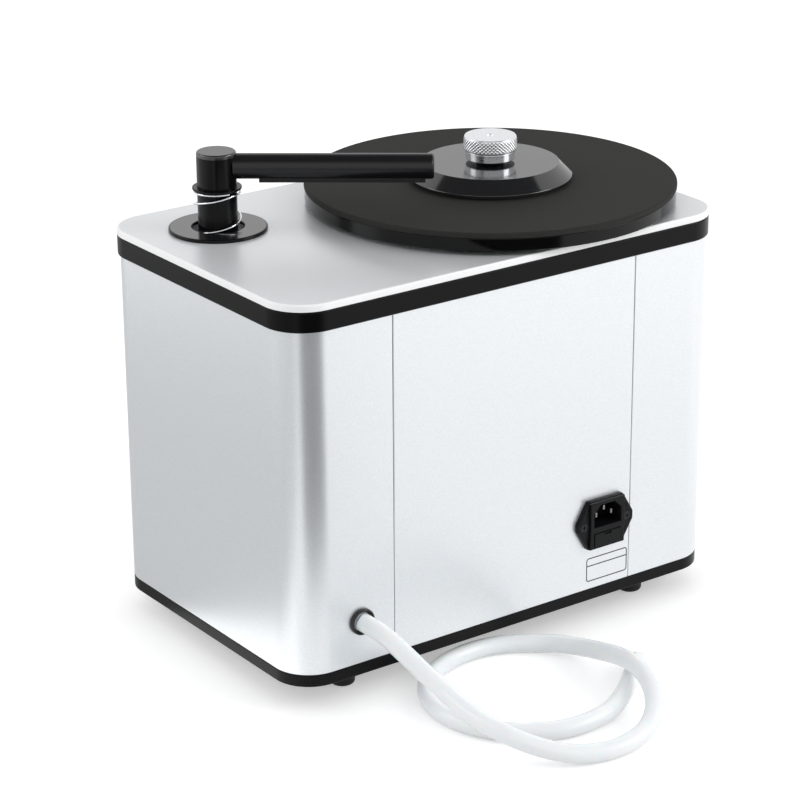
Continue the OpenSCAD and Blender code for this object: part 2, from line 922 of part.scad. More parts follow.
module gear_motor() {
  color([0.55, 0.56, 0.58])
    at_spindle()
      difference() {
        union() {
          translate([0, 0, z_bracket - gearbox_h])
            cylinder(gearbox_h, gearbox_r, gearbox_r);
          translate([0, 0, z_bracket - gearbox_h - can_h])
            cylinder(can_h, can_r, can_r);
          translate([0, 0, z_bracket - gearbox_h - can_h - 4])
            cylinder(4, 5, 5);
          translate([0, 0, z_bracket])
            cylinder(bracket_t, pilot_r, pilot_r);
        }
        translate([0, 0, z_bracket - gearbox_h + 4])
          cylinder(gearbox_h + bracket_t, motor_shaft_r + run_gap, motor_shaft_r + run_gap);
      }
}

bracket_w = 36;
leg_reach = 38;
leg_foot = 14;

module at_bracket_legs(z = 0)
  at_spindle(z)
    for (s = [-1, 1])
      translate([0, s * (leg_reach + leg_foot / 2), 0])
        children();

// Hat-shaped strap that hangs the gear motor under the top plate
module motor_bracket() {
  color([0.65, 0.66, 0.68])
    difference() {
      at_spindle()
        translate([-bracket_w / 2, 0, 0]) {
          translate([0, -leg_reach, z_bracket])
            cube([bracket_w, 2 * leg_reach, bracket_t]);
          for (s = [-1, 1]) {
            translate([0, s * (leg_reach - bracket_t / 2) - bracket_t / 2, z_bracket])
              cube([bracket_w, bracket_t, bracket_drop]);
            translate([0, s > 0 ? leg_reach - bracket_t : -leg_reach - leg_foot, z_plate - bracket_t])
              cube([bracket_w, leg_foot + bracket_t, bracket_t]);
          }
        }
      at_spindle(z_bracket - cut)
        cylinder(bracket_t + 2 * cut, pilot_r, pilot_r);
      at_bracket_legs(z_plate - bracket_t - cut)
        cylinder(bracket_t + 2 * cut, screw_d / 2, screw_d / 2);
    }
}

// Record clamp

shank_r = 7;
clip_r = 10;
clip_t = 1.5;
clamp_web = 4;
seal_w = 9;
seal_r = clamp_r - 4;

module clamp_disc() {
  color([0.12, 0.12, 0.13])
    at_spindle()
      rotate_extrude()
        polygon([
          [shank_r + run_gap, z_clamp_top - clamp_web], [clip_r + 2, z_clamp_top - clamp_web],
          [clip_r + 2, z_clamp + 1], [seal_r - seal_w - 6, z_clamp + 1], [seal_r - seal_w, z_clamp],
          [clamp_r - 0.6, z_clamp], [clamp_r, z_clamp + 0.6], [clamp_top_r, z_clamp_top],
          [shank_r + run_gap, z_clamp_top]
        ]);
}

module clamp_seal() {
  color([0.04, 0.04, 0.04])
    at_spindle(z_deck)
      tube(seal_h, seal_r, seal_w);
}

knurl_rows = 8;
knob_edge = 0.6;
bore_top = spindle_top + 2;
peep_r = 2.2;

// Diamond grid: a point is high or low by turns along both ways round
function knurl_point(i, j) =
  let (r = (i + j) % 2 == 0 ? knob_r : knob_r - knurl_depth, a = 360 * i / knurl_count)
  [r * cos(a), r * sin(a), z_knurl + j * (knurl_h - knob_edge) / knurl_rows];

module knurled_drum() {
  n = knurl_count;
  last = knurl_rows * n;
  points = concat(
    [for (j = [0 : knurl_rows], i = [0 : n - 1]) knurl_point(i, j)],
    [[0, 0, z_knurl], [0, 0, z_knob_top - knob_edge]]
  );
  sides = [for (j = [0 : knurl_rows - 1], i = [0 : n - 1])
    let (a = j * n + i, b = j * n + (i + 1) % n, c = b + n, d = a + n)
    each (i + j) % 2 == 0 ? [[a, d, b], [b, d, c]] : [[a, c, b], [a, d, c]]];
  low = [for (i = [0 : n - 1]) [last + n, i, (i + 1) % n]];
  high = [for (i = [0 : n - 1]) [last + n + 1, last + (i + 1) % n, last + i]];
  polyhedron(points, concat(sides, low, high));
}

module clamp_knob() {
  color([0.85, 0.86, 0.88])
    at_spindle()
      difference() {
        union() {
          knurled_drum();
          translate([0, 0, z_knob_top - knob_edge - 0.01])
            cylinder(knob_edge + 0.01, knob_r - knurl_depth, knob_r - knurl_depth - knob_edge);
          translate([0, 0, z_ring])
            cylinder(ring_h, knob_ring_r, knob_ring_r);
          translate([0, 0, z_clamp_top])
            cylinder(neck_h, clip_r, clip_r);
          translate([0, 0, z_clamp + 1])
            cylinder(clamp_h, shank_r, shank_r);
        }
        translate([0, 0, z_clamp])
          cylinder(bore_top - z_clamp, spindle_r + run_gap, spindle_r + run_gap);
        translate([0, 0, bore_top - cut])
          cylinder(z_knob_top - bore_top + 2 * cut, peep_r, peep_r);
        translate([0, 0, z_clamp_top - clamp_web - clip_t])
          tube(clip_t, shank_r + cut, 1 + cut);
      }
}

module clamp_ring() {
  color([0.7, 0.71, 0.73])
    at_spindle(z_clamp_top - clamp_web - clip_t)
      tube(clip_t, clip_r, clip_r - shank_r + 1);
}

// Power inlet, seen from behind: X across, Y out of the panel, Z up

inlet_x = case_x - seam_x + inlet_inset;
inlet_z = z_base + inlet_rise;
inlet_body_w = drawer_w + 3;
inlet_body_h = inlet_h - 2.8;
inlet_frame_w = inlet_body_w + 4;
inlet_flat_w = inlet_frame_w + 0.5;
inlet_depth = 30;
recess_rise = 7;
recess_corner = 6;
drawer_drop = -inlet_h / 2 + 2 + drawer_h / 2;
inlet_face = rear_y + inlet_t + inlet_proud;
pin_pitch = 7;
pin_w = 2;
pin_h = 4;
pin_len = recess_depth - 4.6;
earth_rise = 4.5;
pin_rise = recess_rise - 1;
tab_len = 9;
slide_gap = 0.2;

module at_inlet(y = rear_y)
  translate([inlet_x, y, inlet_z])
    children();

// Extrudes an outline in X and Z from the plane Y = 0 back towards the case
module into_case(depth)
  rotate([90, 0, 0])
    linear_extrude(depth)
      children();

module inlet_outline() {
  ear = 3;
  side = inlet_flat_w / 2;
  polygon([
    [-side, inlet_h / 2], [side, inlet_h / 2], [inlet_w / 2, ear], [inlet_w / 2, -ear],
    [side, -inlet_h / 2], [-side, -inlet_h / 2], [-inlet_w / 2, -ear], [-inlet_w / 2, ear]
  ]);
}

module recess_outline() {
  w = recess_w / 2;
  h = recess_h / 2;
  polygon([[-w, -h], [w, -h], [w, h - recess_corner], [w - recess_corner, h], [recess_corner - w, h], [-w, h - recess_corner]]);
}

module inlet_screw_holes()
  for (s = [-1, 1])
    translate([inlet_x + s * inlet_screw_pitch / 2, rear_y + cut, inlet_z])
      rotate([90, 0, 0])
        cylinder(panel_t + post_d + cut, 1.6, 1.6);

module at_pins()
  for (p = [[-pin_pitch, 0], [pin_pitch, 0], [0, earth_rise]])
    translate([p[0], 0, pin_rise + p[1]])
      children();

module power_inlet() {
  color([0.1, 0.1, 0.11])
    difference() {
      union() {
        at_inlet(rear_y + inlet_t)
          into_case(inlet_t)
            inlet_outline();
        at_inlet(inlet_face)
          into_case(inlet_proud + inlet_t)
            square([inlet_frame_w, inlet_h - 2], center = true);
        at_inlet(rear_y)
          into_case(inlet_depth)
            square([inlet_body_w, inlet_body_h], center = true);
      }
      at_inlet(inlet_face + cut)
        translate([0, 0, recess_rise])
          into_case(recess_depth + cut)
            recess_outline();
      at_inlet(inlet_face + cut)
        translate([0, 0, drawer_drop])
          into_case(drawer_depth + cut)
            square([drawer_w, drawer_h], center = true);
      at_inlet(inlet_face - recess_depth + cut)
        at_pins()
          into_case(inlet_depth + cut)
            square([pin_w, pin_h], center = true);
      for (s = [-1, 1])
        at_inlet(rear_y + inlet_t + cut)
          translate([s * inlet_screw_pitch / 2, 0, 0])
            rotate([90, 0, 0]) {
              cylinder(inlet_t + 2 * cut, 1.6, 1.6);
              cylinder(cut, 3.2, 3.2);
              translate([0, 0, cut])
                cylinder(1.6, 3.2, 1.6);
            }
    }
}

module inlet_pins() {
  color([0.8, 0.8, 0.78])
    at_inlet(inlet_face - recess_depth + pin_len)
      at_pins()
        into_case(pin_len + inlet_depth - recess_depth + inlet_t + inlet_proud + tab_len)
          square([pin_w, pin_h], center = true);
}

module inlet_screws() {
  color([0.5, 0.5, 0.52])
    for (s = [-1, 1])
      at_inlet(rear_y + inlet_t)
        translate([s * inlet_screw_pitch / 2, 0, 0])
          rotate([90, 0, 0]) {
            cylinder(1.6, 3.2, 1.6);
            cylinder(inlet_t + panel_t + 5, 1.6, 1.6);
          }
}

module fuse_drawer() {
  color([0.14, 0.14, 0.15])
    at_inlet(inlet_face + 0.4)
      translate([0, 0, drawer_drop])
        difference() {
          into_case(drawer_depth - 0.4)
            square([drawer_w - 2 * slide_gap, drawer_h - 2 * slide_gap], center = true);
          translate([-11, -drawer_depth + 3, -2.8])
            cube([22, 8, drawer_h]);
          translate([-3, -1.2, drawer_h / 2 - 2.5])
            cube([6, cut + 1.2, 3]);
        }
}

module fuse() {
  color([0.8, 0.82, 0.85])
    at_inlet(inlet_face + 0.4 - drawer_depth + 7)
      translate([-10, 0, drawer_drop - 0.3])
        rotate([0, 90, 0])
          cylinder(20, 2.5, 2.5);
}

// Drain

drain_x = case_x + body_w / 2 - drain_inset;
drain_z = z_base + drain_rise;
bush_lip = 2.5;
bush_groove_r = bush_r - 2;
hose_gap = 0.2;
bush_flare = 1.4;
hose_mouth = rear_y + 1;
hose_sides = 10;

module drain_bush() {
  color([0.05, 0.05, 0.06])
    translate([drain_x, rear_y, drain_z])
      rotate([-90, 0, 0])
        rotate_extrude()
          difference() {
            union() {
              translate([0, -panel_t - bush_lip])
                square([bush_r, bush_lip]);
              translate([0, -panel_t])
                square([bush_groove_r, panel_t]);
              square([bush_r, bush_proud - bush_lip / 2]);
              square([bush_r - bush_lip / 2, bush_proud]);
              translate([bush_r - bush_lip / 2, bush_proud - bush_lip / 2])
                circle(bush_lip / 2);
            }
            polygon([
              [-cut, -panel_t - bush_lip - cut], [hose_r + hose_gap, -panel_t - bush_lip - cut],
              [hose_r + hose_gap, 0], [hose_r + hose_gap + bush_flare, bush_proud],
              [hose_r + hose_gap + bush_flare, bush_proud + cut], [-cut, bush_proud + cut]
            ]);
          }
}

module drain_pipe() {
  color([0.86, 0.9, 0.93])
    translate([drain_x, tank_rear, drain_z])
      rotate([-90, 0, 0])
        tube(hose_mouth - tank_rear, hose_r, hose_wall);
}

// Route of the drain hose from its bush over the floor, chosen by hand
hose_route = [
  [140.5, 119.5, 58.5], [135.2, 138, 53.5], [130.7, 156, 45], [127, 174, 36.5], [124, 193, 29.5], [123, 213, 25],
  [121, 233, 22], [115, 252, 18.5], [103, 268, 13.5], [87, 280, 9], [68, 287, 6.8], [48, 289, 6.8],
  [28, 285, 8.5], [11, 275, 12.5], [-2, 260, 17], [-11, 242, 20.5], [-16, 222, 21.5], [-19, 202, 18.5],
  [-20, 182, 14], [-18, 162, 10], [-10, 144, 8], [4, 130, 7], [21, 120, 6.8], [41, 116, 6.8],
  [62, 118, 6.8], [81, 125, 6.8], [98, 137, 6.8], [110, 153, 6.8], [117, 172, 6.8], [117, 192, 6.8],
  [111, 211, 6.8], [99, 228, 6.8], [83, 240, 6.8], [64, 248, 6.8], [44, 249, 6.8], [24, 245, 6.8],
  [6, 235, 6.8], [-10, 223, 6.8], [-26, 210, 6.8], [-42, 197, 6.8]
];

module drain_hose() {
  color([0.86, 0.9, 0.93])
    hollow_tube(hose_route, hose_r, hose_r - hose_wall, hose_sides);
}

// Waste tank and vacuum

tank_x = column_x - 24;
// The tank stands a little forward of the middle, clear of the posts and the drain
tank_shift = 0.5;
tank_y = -tank_shift;
tank_rear = tank_y + tank_d / 2;
tank_z = z_floor + rail_h;
tank_top = tank_z + tank_h;
tank_corner = 12;
lid_t = 5;
spigot_h = 14;
nipple_len = 10;
vac_x = spindle_x - 42;
// Air kept between the fan housing and the front posts
fan_air = 1.5;
vac_y = -(wall_y - post_d - fan_air - fan_r);
outlet_x = tank_x - 36;
duct_top = tank_top + lid_t + spigot_h + 29;
duct_bend = 28;

module waste_tank() {
  color([0.9, 0.92, 0.9])
    difference() {
      union() {
        translate([tank_x, tank_y, tank_z])
          rounded_block(tank_w, tank_d, tank_h, tank_corner);
      }
      translate([tank_x, tank_y, tank_z + tank_wall])
        rounded_block(tank_w - 2 * tank_wall, tank_d - 2 * tank_wall, tank_h, tank_corner - tank_wall);
      translate([drain_x, tank_rear + cut, drain_z])
        rotate([90, 0, 0])
          cylinder(tank_wall + 2 * cut, hose_r - hose_wall, hose_r - hose_wall);
    }
}

module tank_lid() {
  color([0.15, 0.15, 0.16])
    difference() {
      union() {
        translate([tank_x, tank_y, tank_top])
          rounded_block(tank_w + 4, tank_d + 4, lid_t, tank_corner + 2);
        at_column(tank_top + lid_t - cut)
          cylinder(spigot_h + cut, column_r + 4, column_r + 4);
        translate([outlet_x, vac_y, tank_top + lid_t - cut])
          cylinder(spigot_h + cut, duct_r, duct_r);
      }
      at_column(tank_top - cut)
        cylinder(lid_t + spigot_h + 3 * cut, column_r + 1, column_r + 1);
      translate([outlet_x, vac_y, tank_top - cut])
        cylinder(lid_t + spigot_h + 3 * cut, duct_r - duct_wall, duct_r - duct_wall);
    }
}

join_lap = 12;
join_wall = 3;
join_r = column_r + 7;

// Rubber sleeve that joins the arm guide to the tank lid
module duct_sleeve() {
  color([0.08, 0.08, 0.08])
    at_column(tank_top + lid_t)
      tube(guide_foot - tank_top - lid_t + join_lap, join_r, join_wall);
}

module tank_rails() {
  color([0.6, 0.61, 0.63])
    for (s = [-1, 1])
      translate([tank_x, tank_y + s * tank_d / 4, z_floor])
        difference() {
          translate([-tank_w / 2, -12, 0])
            cube([tank_w, 24, rail_h]);
          translate([-tank_w / 2 - cut, -10, -cut])
            cube([tank_w + 2 * cut, 20, rail_h - 2 + cut]);
        }
}

// Centre line of the vacuum hose: up from the fan, level over the motor and down to the tank
bend_steps = 5;
function bend_points(x, way) =
  [for (i = [0 : bend_steps]) let (a = 90 * i / bend_steps)
    [x + way * duct_bend * (1 - cos(a)), vac_y, duct_top - duct_bend * (1 - sin(a))]];

module vacuum_hose() {
  rise = bend_points(vac_x, 1);
  fall = bend_points(outlet_x, -1);
  path = concat(
    [[vac_x, vac_y, vac_inlet_z]], rise,
    [for (i = [0 : bend_steps]) fall[bend_steps - i]],
    [[outlet_x, vac_y, tank_top + lid_t]]
  );
  color([0.2, 0.2, 0.21])
    hollow_tube(path, duct_r + duct_wall + 0.5, duct_r / cos(180 / duct_sides) + 0.1, duct_sides, [0, -1, 0]);
}

duct_sides = 16;
mount_h = 6;
fan_wall = 2;
fan_z = z_floor + mount_h + vac_h;
neck_len = 14;
vac_inlet_z = fan_z + fan_h;
fan_shaft_r = 4;

module at_vac(z = 0)
  translate([vac_x, vac_y, z])
    children();

module motor_mount() {
  color([0.08, 0.08, 0.08])
    at_vac(z_floor)
      tube(mount_h, vac_r, 10);
}

module vacuum_motor() {
  color([0.5, 0.51, 0.53])
    at_vac(z_floor + mount_h)
      difference() {
        union() {
          cylinder(vac_h - 6, vac_r, vac_r);
          cylinder(vac_h, vac_r - 6, vac_r - 6);
        }
        translate([0, 0, vac_h - 20])
          cylinder(20 + cut, fan_shaft_r + run_gap, fan_shaft_r + run_gap);
      }
}

module fan_housing() {
  color([0.62, 0.63, 0.65])
    at_vac(fan_z)
      difference() {
        rotate_extrude()
          polygon([
            [fan_shaft_r + 2, 0], [fan_r, 0], [fan_r, fan_h], [duct_r, fan_h], [duct_r, fan_h + neck_len],
            [duct_r - duct_wall, fan_h + neck_len], [duct_r - duct_wall, fan_h - fan_wall],
            [fan_r - fan_wall, fan_h - fan_wall], [fan_r - fan_wall, fan_wall], [fan_shaft_r + 2, fan_wall]
          ]);
        for (i = [0 : exhaust_count - 1])
          rotate(i * 360 / exhaust_count)
            translate([fan_r - 6, -exhaust_w / 2, fan_wall + 6])
              cube([12, exhaust_w, fan_h - 2 * fan_wall - 12]);
      }
}

blade_count = 8;
exhaust_count = 6;
exhaust_w = 16;

module fan_impeller() {
  color([0.75, 0.76, 0.78])
    at_vac(fan_z) {
      translate([0, 0, -19])
        cylinder(19 + fan_h - 8, fan_shaft_r, fan_shaft_r);
      translate([0, 0, fan_wall + 4])
        cylinder(2, fan_r - 8, fan_r - 8);
      for (i = [0 : blade_count - 1])
        rotate(i * 360 / blade_count)
          translate([duct_r, -1, fan_wall + 4])
            cube([fan_r - duct_r - 10, 2, fan_h - 16]);
    }
}

board_w = 96;
board_d = 46;
board_x = case_x - 22;
board_y = wall_y - 36;
board_z = z_floor + 8;

// Board with its pillars, transformer, relays and terminal block, built as one unit
module power_board() {
  color([0.15, 0.35, 0.22])
    translate([board_x, board_y, 0]) {
      translate([-board_w / 2, -board_d / 2, board_z])
        cube([board_w, board_d, 1.6]);
      for (sx = [-1, 1], sy = [-1, 1])
        translate([sx * (board_w / 2 - 5), sy * (board_d / 2 - 5), z_floor])
          cylinder(board_z - z_floor, 3, 3);
      translate([-36, -18, board_z + 1.6])
        cube([34, 30, 26]);
      translate([6, -16, board_z + 1.6])
        cube([14, 18, 15]);
      translate([24, -16, board_z + 1.6])
        cube([14, 18, 15]);
      translate([10, 10, board_z + 1.6])
        cylinder(18, 6, 6);
      translate([-46, -23, board_z + 1.6])
        cube([8, 20, terminal_h]);
    }
}

// Lead from a tab of the inlet to a terminal: it leaves level and comes down from above
function lead_path(a, b, reach) =
  let (c = a - [0, reach, 0], d = b + [0, 0, lead_drop])
  [for (i = [0 : lead_steps]) let (t = i / lead_steps, u = 1 - t)
    u * u * u * a + 3 * u * u * t * c + 3 * u * t * t * d + t * t * t * b];

lead_r = 1.8;
lead_count = 3;
lead_steps = 10;
lead_reach = 28;
lead_nest = 6;
lead_drop = 24;
terminal_h = 10;
terminal_pitch = 6;

module wiring_loom() {
  tab_y = rear_y - inlet_depth - tab_len;
  color([0.25, 0.2, 0.18])
    for (i = [0 : lead_count - 1])
      solid_tube(
        lead_path(
          [inlet_x + (i - 1) * pin_pitch, tab_y - 0.1, inlet_z + pin_rise + (i == 1 ? earth_rise : 0)],
          [board_x - 42, board_y - 19 + i * terminal_pitch, board_z + 1.7 + terminal_h],
          lead_reach - i * lead_nest
        ),
        lead_r, 6
      );
}

// Switches on the front panel

switch_x = case_x + 40;
switch_z = z_trim - 38;
switch_body_w = bezel_w - 4;
switch_body_h = bezel_h - 4;
switch_depth = 22;
bezel_t = 2;
rocker_w = switch_body_w - 5;
rocker_h = switch_body_h - 4;
rocker_axis = 2.5;
rocker_rise = 3.4;

// Frame of one switch: X across, Y into the case from the panel's face, Z up
module at_switches()
  for (s = [-1, 1])
    translate([switch_x + s * switch_pitch / 2, -rear_y, switch_z])
      children();

module switch_bodies() {
  color([0.08, 0.08, 0.09])
    at_switches()
      difference() {
        union() {
          translate([-bezel_w / 2, -bezel_t, -bezel_h / 2])
            cube([bezel_w, bezel_t, bezel_h]);
          translate([-switch_body_w / 2, 0, -switch_body_h / 2])
            cube([switch_body_w, switch_depth, switch_body_h]);
        }
        translate([-rocker_w / 2 - slide_gap, -bezel_t - cut, -rocker_h / 2 - 0.6])
          cube([rocker_w + 2 * slide_gap, bezel_t + 9 + cut, rocker_h + 1.2]);
      }
}

// Rocker: two faces that meet in a shallow valley, over a round pivot
module rocker(tilt) {
  translate([0, rocker_axis, 0])
    rotate([tilt, 0, 0])
      translate([-rocker_w / 2, 0, 0])
        rotate([90, 0, 90])
          linear_extrude(rocker_w)
            union() {
              polygon([
                [-rocker_axis - bezel_t - rocker_rise, rocker_h / 2 - 1.2], [-rocker_axis - bezel_t - 1, 0],
                [-rocker_axis - bezel_t - rocker_rise, -rocker_h / 2 + 1.2], [-1, -rocker_h / 2 + 0.6],
                [2, -3], [2, 3], [-1, rocker_h / 2 - 0.6]
              ]);
              circle(3);
            }
}

module platter_rocker() {
  color([0.12, 0.12, 0.13])
    translate([switch_x - switch_pitch / 2, -rear_y, switch_z])
      rocker(0);
}

module vacuum_rocker() {
  color([0.12, 0.12, 0.13])
    translate([switch_x + switch_pitch / 2, -rear_y, switch_z])
      rocker(rocker_tilt);
}

// Least gap of a wound or laid tube to itself, measured between points half a diameter apart
function finer(p, k) =
  [for (i = [0 : len(p) - 2], j = [0 : k - 1]) p[i] + (p[i + 1] - p[i]) * j / k];
function least_gap(p, apart, d) =
  min([for (i = [0 : len(p) - 1 - apart], j = [i + apart : len(p) - 1]) norm(p[i] - p[j])]) - d;
echo(spring_gap = least_gap(finer(spring_path, 4), 24, wire_d));
echo(hose_gap_at_crossings = least_gap(finer(hose_route, 4), 24, 2 * hose_r));

base_tray();
feet();
foot_screws();
left_cover();
right_cover();
rear_panel();
front_panel();
seam_posts();
post_screws();
top_trim();
top_plate();
deck_screws();
arm_flange();
arm_guide();
swivel_sleeve();
column_seal();
arm_spring();
arm_collar();
arm_column();
column_cap();
arm_tube();
arm_end_plug();
slot_pads();
platter();
platter_mat();
platter_screws();
spindle();
thrust_washer();
spindle_bearing();
shaft_coupler();
gear_motor();
motor_shaft();
motor_bracket();
clamp_disc();
clamp_seal();
clamp_knob();
clamp_ring();
power_inlet();
inlet_pins();
inlet_screws();
fuse_drawer();
fuse();
drain_bush();
drain_pipe();
drain_hose();
waste_tank();
tank_lid();
tank_rails();
duct_sleeve();
vacuum_hose();
fan_housing();
fan_impeller();
vacuum_motor();
motor_mount();
power_board();
wiring_loom();
switch_bodies();
platter_rocker();
vacuum_rocker();
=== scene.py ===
import math

import bmesh
import bpy
from mathutils import Matrix, Vector


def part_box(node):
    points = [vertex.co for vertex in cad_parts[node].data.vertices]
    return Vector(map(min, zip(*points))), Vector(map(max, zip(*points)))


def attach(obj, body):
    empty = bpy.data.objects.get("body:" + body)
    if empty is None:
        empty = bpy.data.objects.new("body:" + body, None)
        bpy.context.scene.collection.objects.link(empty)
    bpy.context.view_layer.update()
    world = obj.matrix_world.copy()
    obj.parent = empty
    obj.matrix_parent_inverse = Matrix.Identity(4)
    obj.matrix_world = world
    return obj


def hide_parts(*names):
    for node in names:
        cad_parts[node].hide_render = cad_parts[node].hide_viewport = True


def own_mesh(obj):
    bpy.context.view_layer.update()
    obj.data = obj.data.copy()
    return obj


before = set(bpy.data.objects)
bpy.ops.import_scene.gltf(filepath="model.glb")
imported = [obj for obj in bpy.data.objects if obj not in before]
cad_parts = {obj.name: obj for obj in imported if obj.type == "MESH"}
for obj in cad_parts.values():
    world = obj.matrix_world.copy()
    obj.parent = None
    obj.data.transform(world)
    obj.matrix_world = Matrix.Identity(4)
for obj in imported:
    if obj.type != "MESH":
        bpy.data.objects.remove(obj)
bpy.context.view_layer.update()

# Camera
# It stands behind the case and a little above it and looks through a long lens.
# Its place comes from the straight edges of the case and the rim of the mat in the photograph.
camera_place = Vector((1.1379, 1.5525, 0.8896))
camera_azimuth = math.radians(144.283)
camera_elevation = math.radians(20.963)
camera_roll = math.radians(-0.384)
camera_data = bpy.data.cameras.new("camera")
camera_data.lens = 126.715
camera_data.sensor_width = 36.0
camera_data.clip_start = 0.05
camera_data.clip_end = 40.0
camera = bpy.data.objects.new("camera", camera_data)
bpy.context.scene.collection.objects.link(camera)
camera.matrix_world = (
    Matrix.Translation(camera_place)
    @ Matrix.Rotation(camera_azimuth, 4, "Z")
    @ Matrix.Rotation(math.pi / 2 - camera_elevation, 4, "X")
    @ Matrix.Rotation(camera_roll, 4, "Z")
)
bpy.context.scene.camera = camera
bpy.context.scene.view_settings.view_transform = "Standard"


# Drain hose
# Milky vinyl tube, 13 mm outside and 9 mm inside, pushed over the drain pipe in its bush.
# It lies on the floor in one loop, and its free end is cut square and left open.
hose_outside = 0.0065
hose_bore = 0.0045
hose_sides = 40
hose_route = [
    (0.1405, 0.1195, 0.0585), (0.1352, 0.138, 0.0535), (0.1307, 0.156, 0.045), (0.127, 0.174, 0.0365),
    (0.124, 0.193, 0.0295), (0.123, 0.213, 0.025), (0.121, 0.233, 0.022), (0.115, 0.252, 0.0185),
    (0.103, 0.268, 0.0135), (0.087, 0.280, 0.009), (0.068, 0.287, 0.0068), (0.048, 0.289, 0.0068),
    (0.028, 0.285, 0.0085), (0.011, 0.275, 0.0125), (-0.002, 0.260, 0.017), (-0.011, 0.242, 0.0205),
    (-0.016, 0.222, 0.0215), (-0.019, 0.202, 0.0185), (-0.020, 0.182, 0.014), (-0.018, 0.162, 0.010),
    (-0.010, 0.144, 0.008), (0.004, 0.130, 0.007), (0.021, 0.120, 0.0068), (0.041, 0.116, 0.0068),
    (0.062, 0.118, 0.0068), (0.081, 0.125, 0.0068), (0.098, 0.137, 0.0068), (0.110, 0.153, 0.0068),
    (0.117, 0.172, 0.0068), (0.117, 0.192, 0.0068), (0.111, 0.211, 0.0068), (0.099, 0.228, 0.0068),
    (0.083, 0.240, 0.0068), (0.064, 0.248, 0.0068), (0.044, 0.249, 0.0068), (0.024, 0.245, 0.0068),
    (0.006, 0.235, 0.0068), (-0.010, 0.223, 0.0068), (-0.026, 0.210, 0.0068), (-0.042, 0.197, 0.0068),
]


def tone(red, green, blue):
    """Linear colour of a screen colour that is given in steps from 0 to 255."""
    parts = []
    for step in (red, green, blue):
        value = step / 255
        parts.append(value / 12.92 if value < 0.04045 else ((value + 0.055) / 1.055) ** 2.4)
    return (*parts, 1.0)


def grained(name, light, dark, grain, rough, metal=0.0, uneven=0.0, relief=0.0, **sockets):
    """Material of two close tones and a slight unevenness, both from a noise on object coordinates.

    grain is the size of the noise and relief the height of its bumps, both in metres.
    """
    made = bpy.data.materials.new(name)
    made.use_nodes = True
    nodes = made.node_tree.nodes
    links = made.node_tree.links
    shader = nodes["Principled BSDF"]
    where = nodes.new("ShaderNodeTexCoord")
    noise = nodes.new("ShaderNodeTexNoise")
    noise.inputs["Scale"].default_value = 1.0 / grain
    noise.inputs["Detail"].default_value = 4.0
    links.new(where.outputs["Object"], noise.inputs["Vector"])
    tones = nodes.new("ShaderNodeValToRGB")
    tones.color_ramp.elements[0].position = 0.3
    tones.color_ramp.elements[0].color = tone(*dark)
    tones.color_ramp.elements[1].position = 0.7
    tones.color_ramp.elements[1].color = tone(*light)
    links.new(noise.outputs["Fac"], tones.inputs["Fac"])
    links.new(tones.outputs["Color"], shader.inputs["Base Color"])
    shader.inputs["Roughness"].default_value = rough
    shader.inputs["Metallic"].default_value = metal
    if uneven:
        spread = nodes.new("ShaderNodeMapRange")
        spread.inputs["To Min"].default_value = rough - uneven
        spread.inputs["To Max"].default_value = rough + uneven
        links.new(noise.outputs["Fac"], spread.inputs["Value"])
        links.new(spread.outputs["Result"], shader.inputs["Roughness"])
    if relief:
        bumps = nodes.new("ShaderNodeBump")
        bumps.inputs["Strength"].default_value = 1.0
        bumps.inputs["Distance"].default_value = relief
        links.new(noise.outputs["Fac"], bumps.inputs["Height"])
        links.new(bumps.outputs["Normal"], shader.inputs["Normal"])
    for socket, value in sockets.items():
        shader.inputs[socket.replace("_", " ")].default_value = value
    return made


def made_object(name, shape, material):
    """Turns a finished bmesh into an object of the scene."""
    mesh = bpy.data.meshes.new(name)
    shape.to_mesh(mesh)
    shape.free()
    mesh.materials.append(material)
    made = bpy.data.objects.new(name, mesh)
    bpy.context.scene.collection.objects.link(made)
    return made


def place(name, shape, material, body, nodes=(), sharp=35.0, edge=0.0):
    """Makes a finished bmesh a piece that rides with a CAD body and stands for CAD nodes."""
    bmesh.ops.recalc_face_normals(shape, faces=shape.faces)
    piece = made_object(name, shape, material)
    piece.data.shade_smooth()
    if edge:
        rounding = piece.modifiers.new("edges", "BEVEL")
        rounding.width = edge
        rounding.segments = 3
        rounding.limit_method = "ANGLE"
        rounding.angle_limit = math.radians(sharp)
        rounding.harden_normals = True
    else:
        piece.data.set_sharp_from_angle(angle=math.radians(sharp))
    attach(piece, body)
    if nodes:
        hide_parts(*nodes)
    return piece


def smooth_line(points, steps):
    """Smooth line through the points, with that many steps from one point to the next."""
    ends = [2 * points[0] - points[1], *points, 2 * points[-1] - points[-2]]
    line = []
    for a, b, c, d in zip(ends, ends[1:], ends[2:], ends[3:]):
        for k in range(steps):
            t = k / steps
            square = t * t * (2 * a - 5 * b + 4 * c - d)
            cube = t**3 * (3 * b - a - 3 * c + d)
            line.append(0.5 * (2 * b + t * (c - a) + square + cube))
    line.append(points[-1])
    return line


def rings_along(shape, line, radius, sides):
    """Rings of vertices across a line, carried along it without a twist."""
    rings = []
    side = None
    for i, point in enumerate(line):
        ahead = (line[min(i + 1, len(line) - 1)] - line[max(i - 1, 0)]).normalized()
        if side is None:
            side = ahead.cross(Vector((0, 0, 1))).normalized()
        side = (side - ahead * side.dot(ahead)).normalized()
        up = side.cross(ahead)
        ring = []
        for k in range(sides):
            turn = 2 * math.pi * k / sides
            ring.append(shape.verts.new(point + radius * (math.cos(turn) * side + math.sin(turn) * up)))
        rings.append(ring)
    return rings


def skin(shape, rings):
    """Faces between neighbouring closed rings."""
    for near, far in zip(rings, rings[1:]):
        for k in range(len(near)):
            n = (k + 1) % len(near)
            shape.faces.new((near[k], near[n], far[n], far[k]))


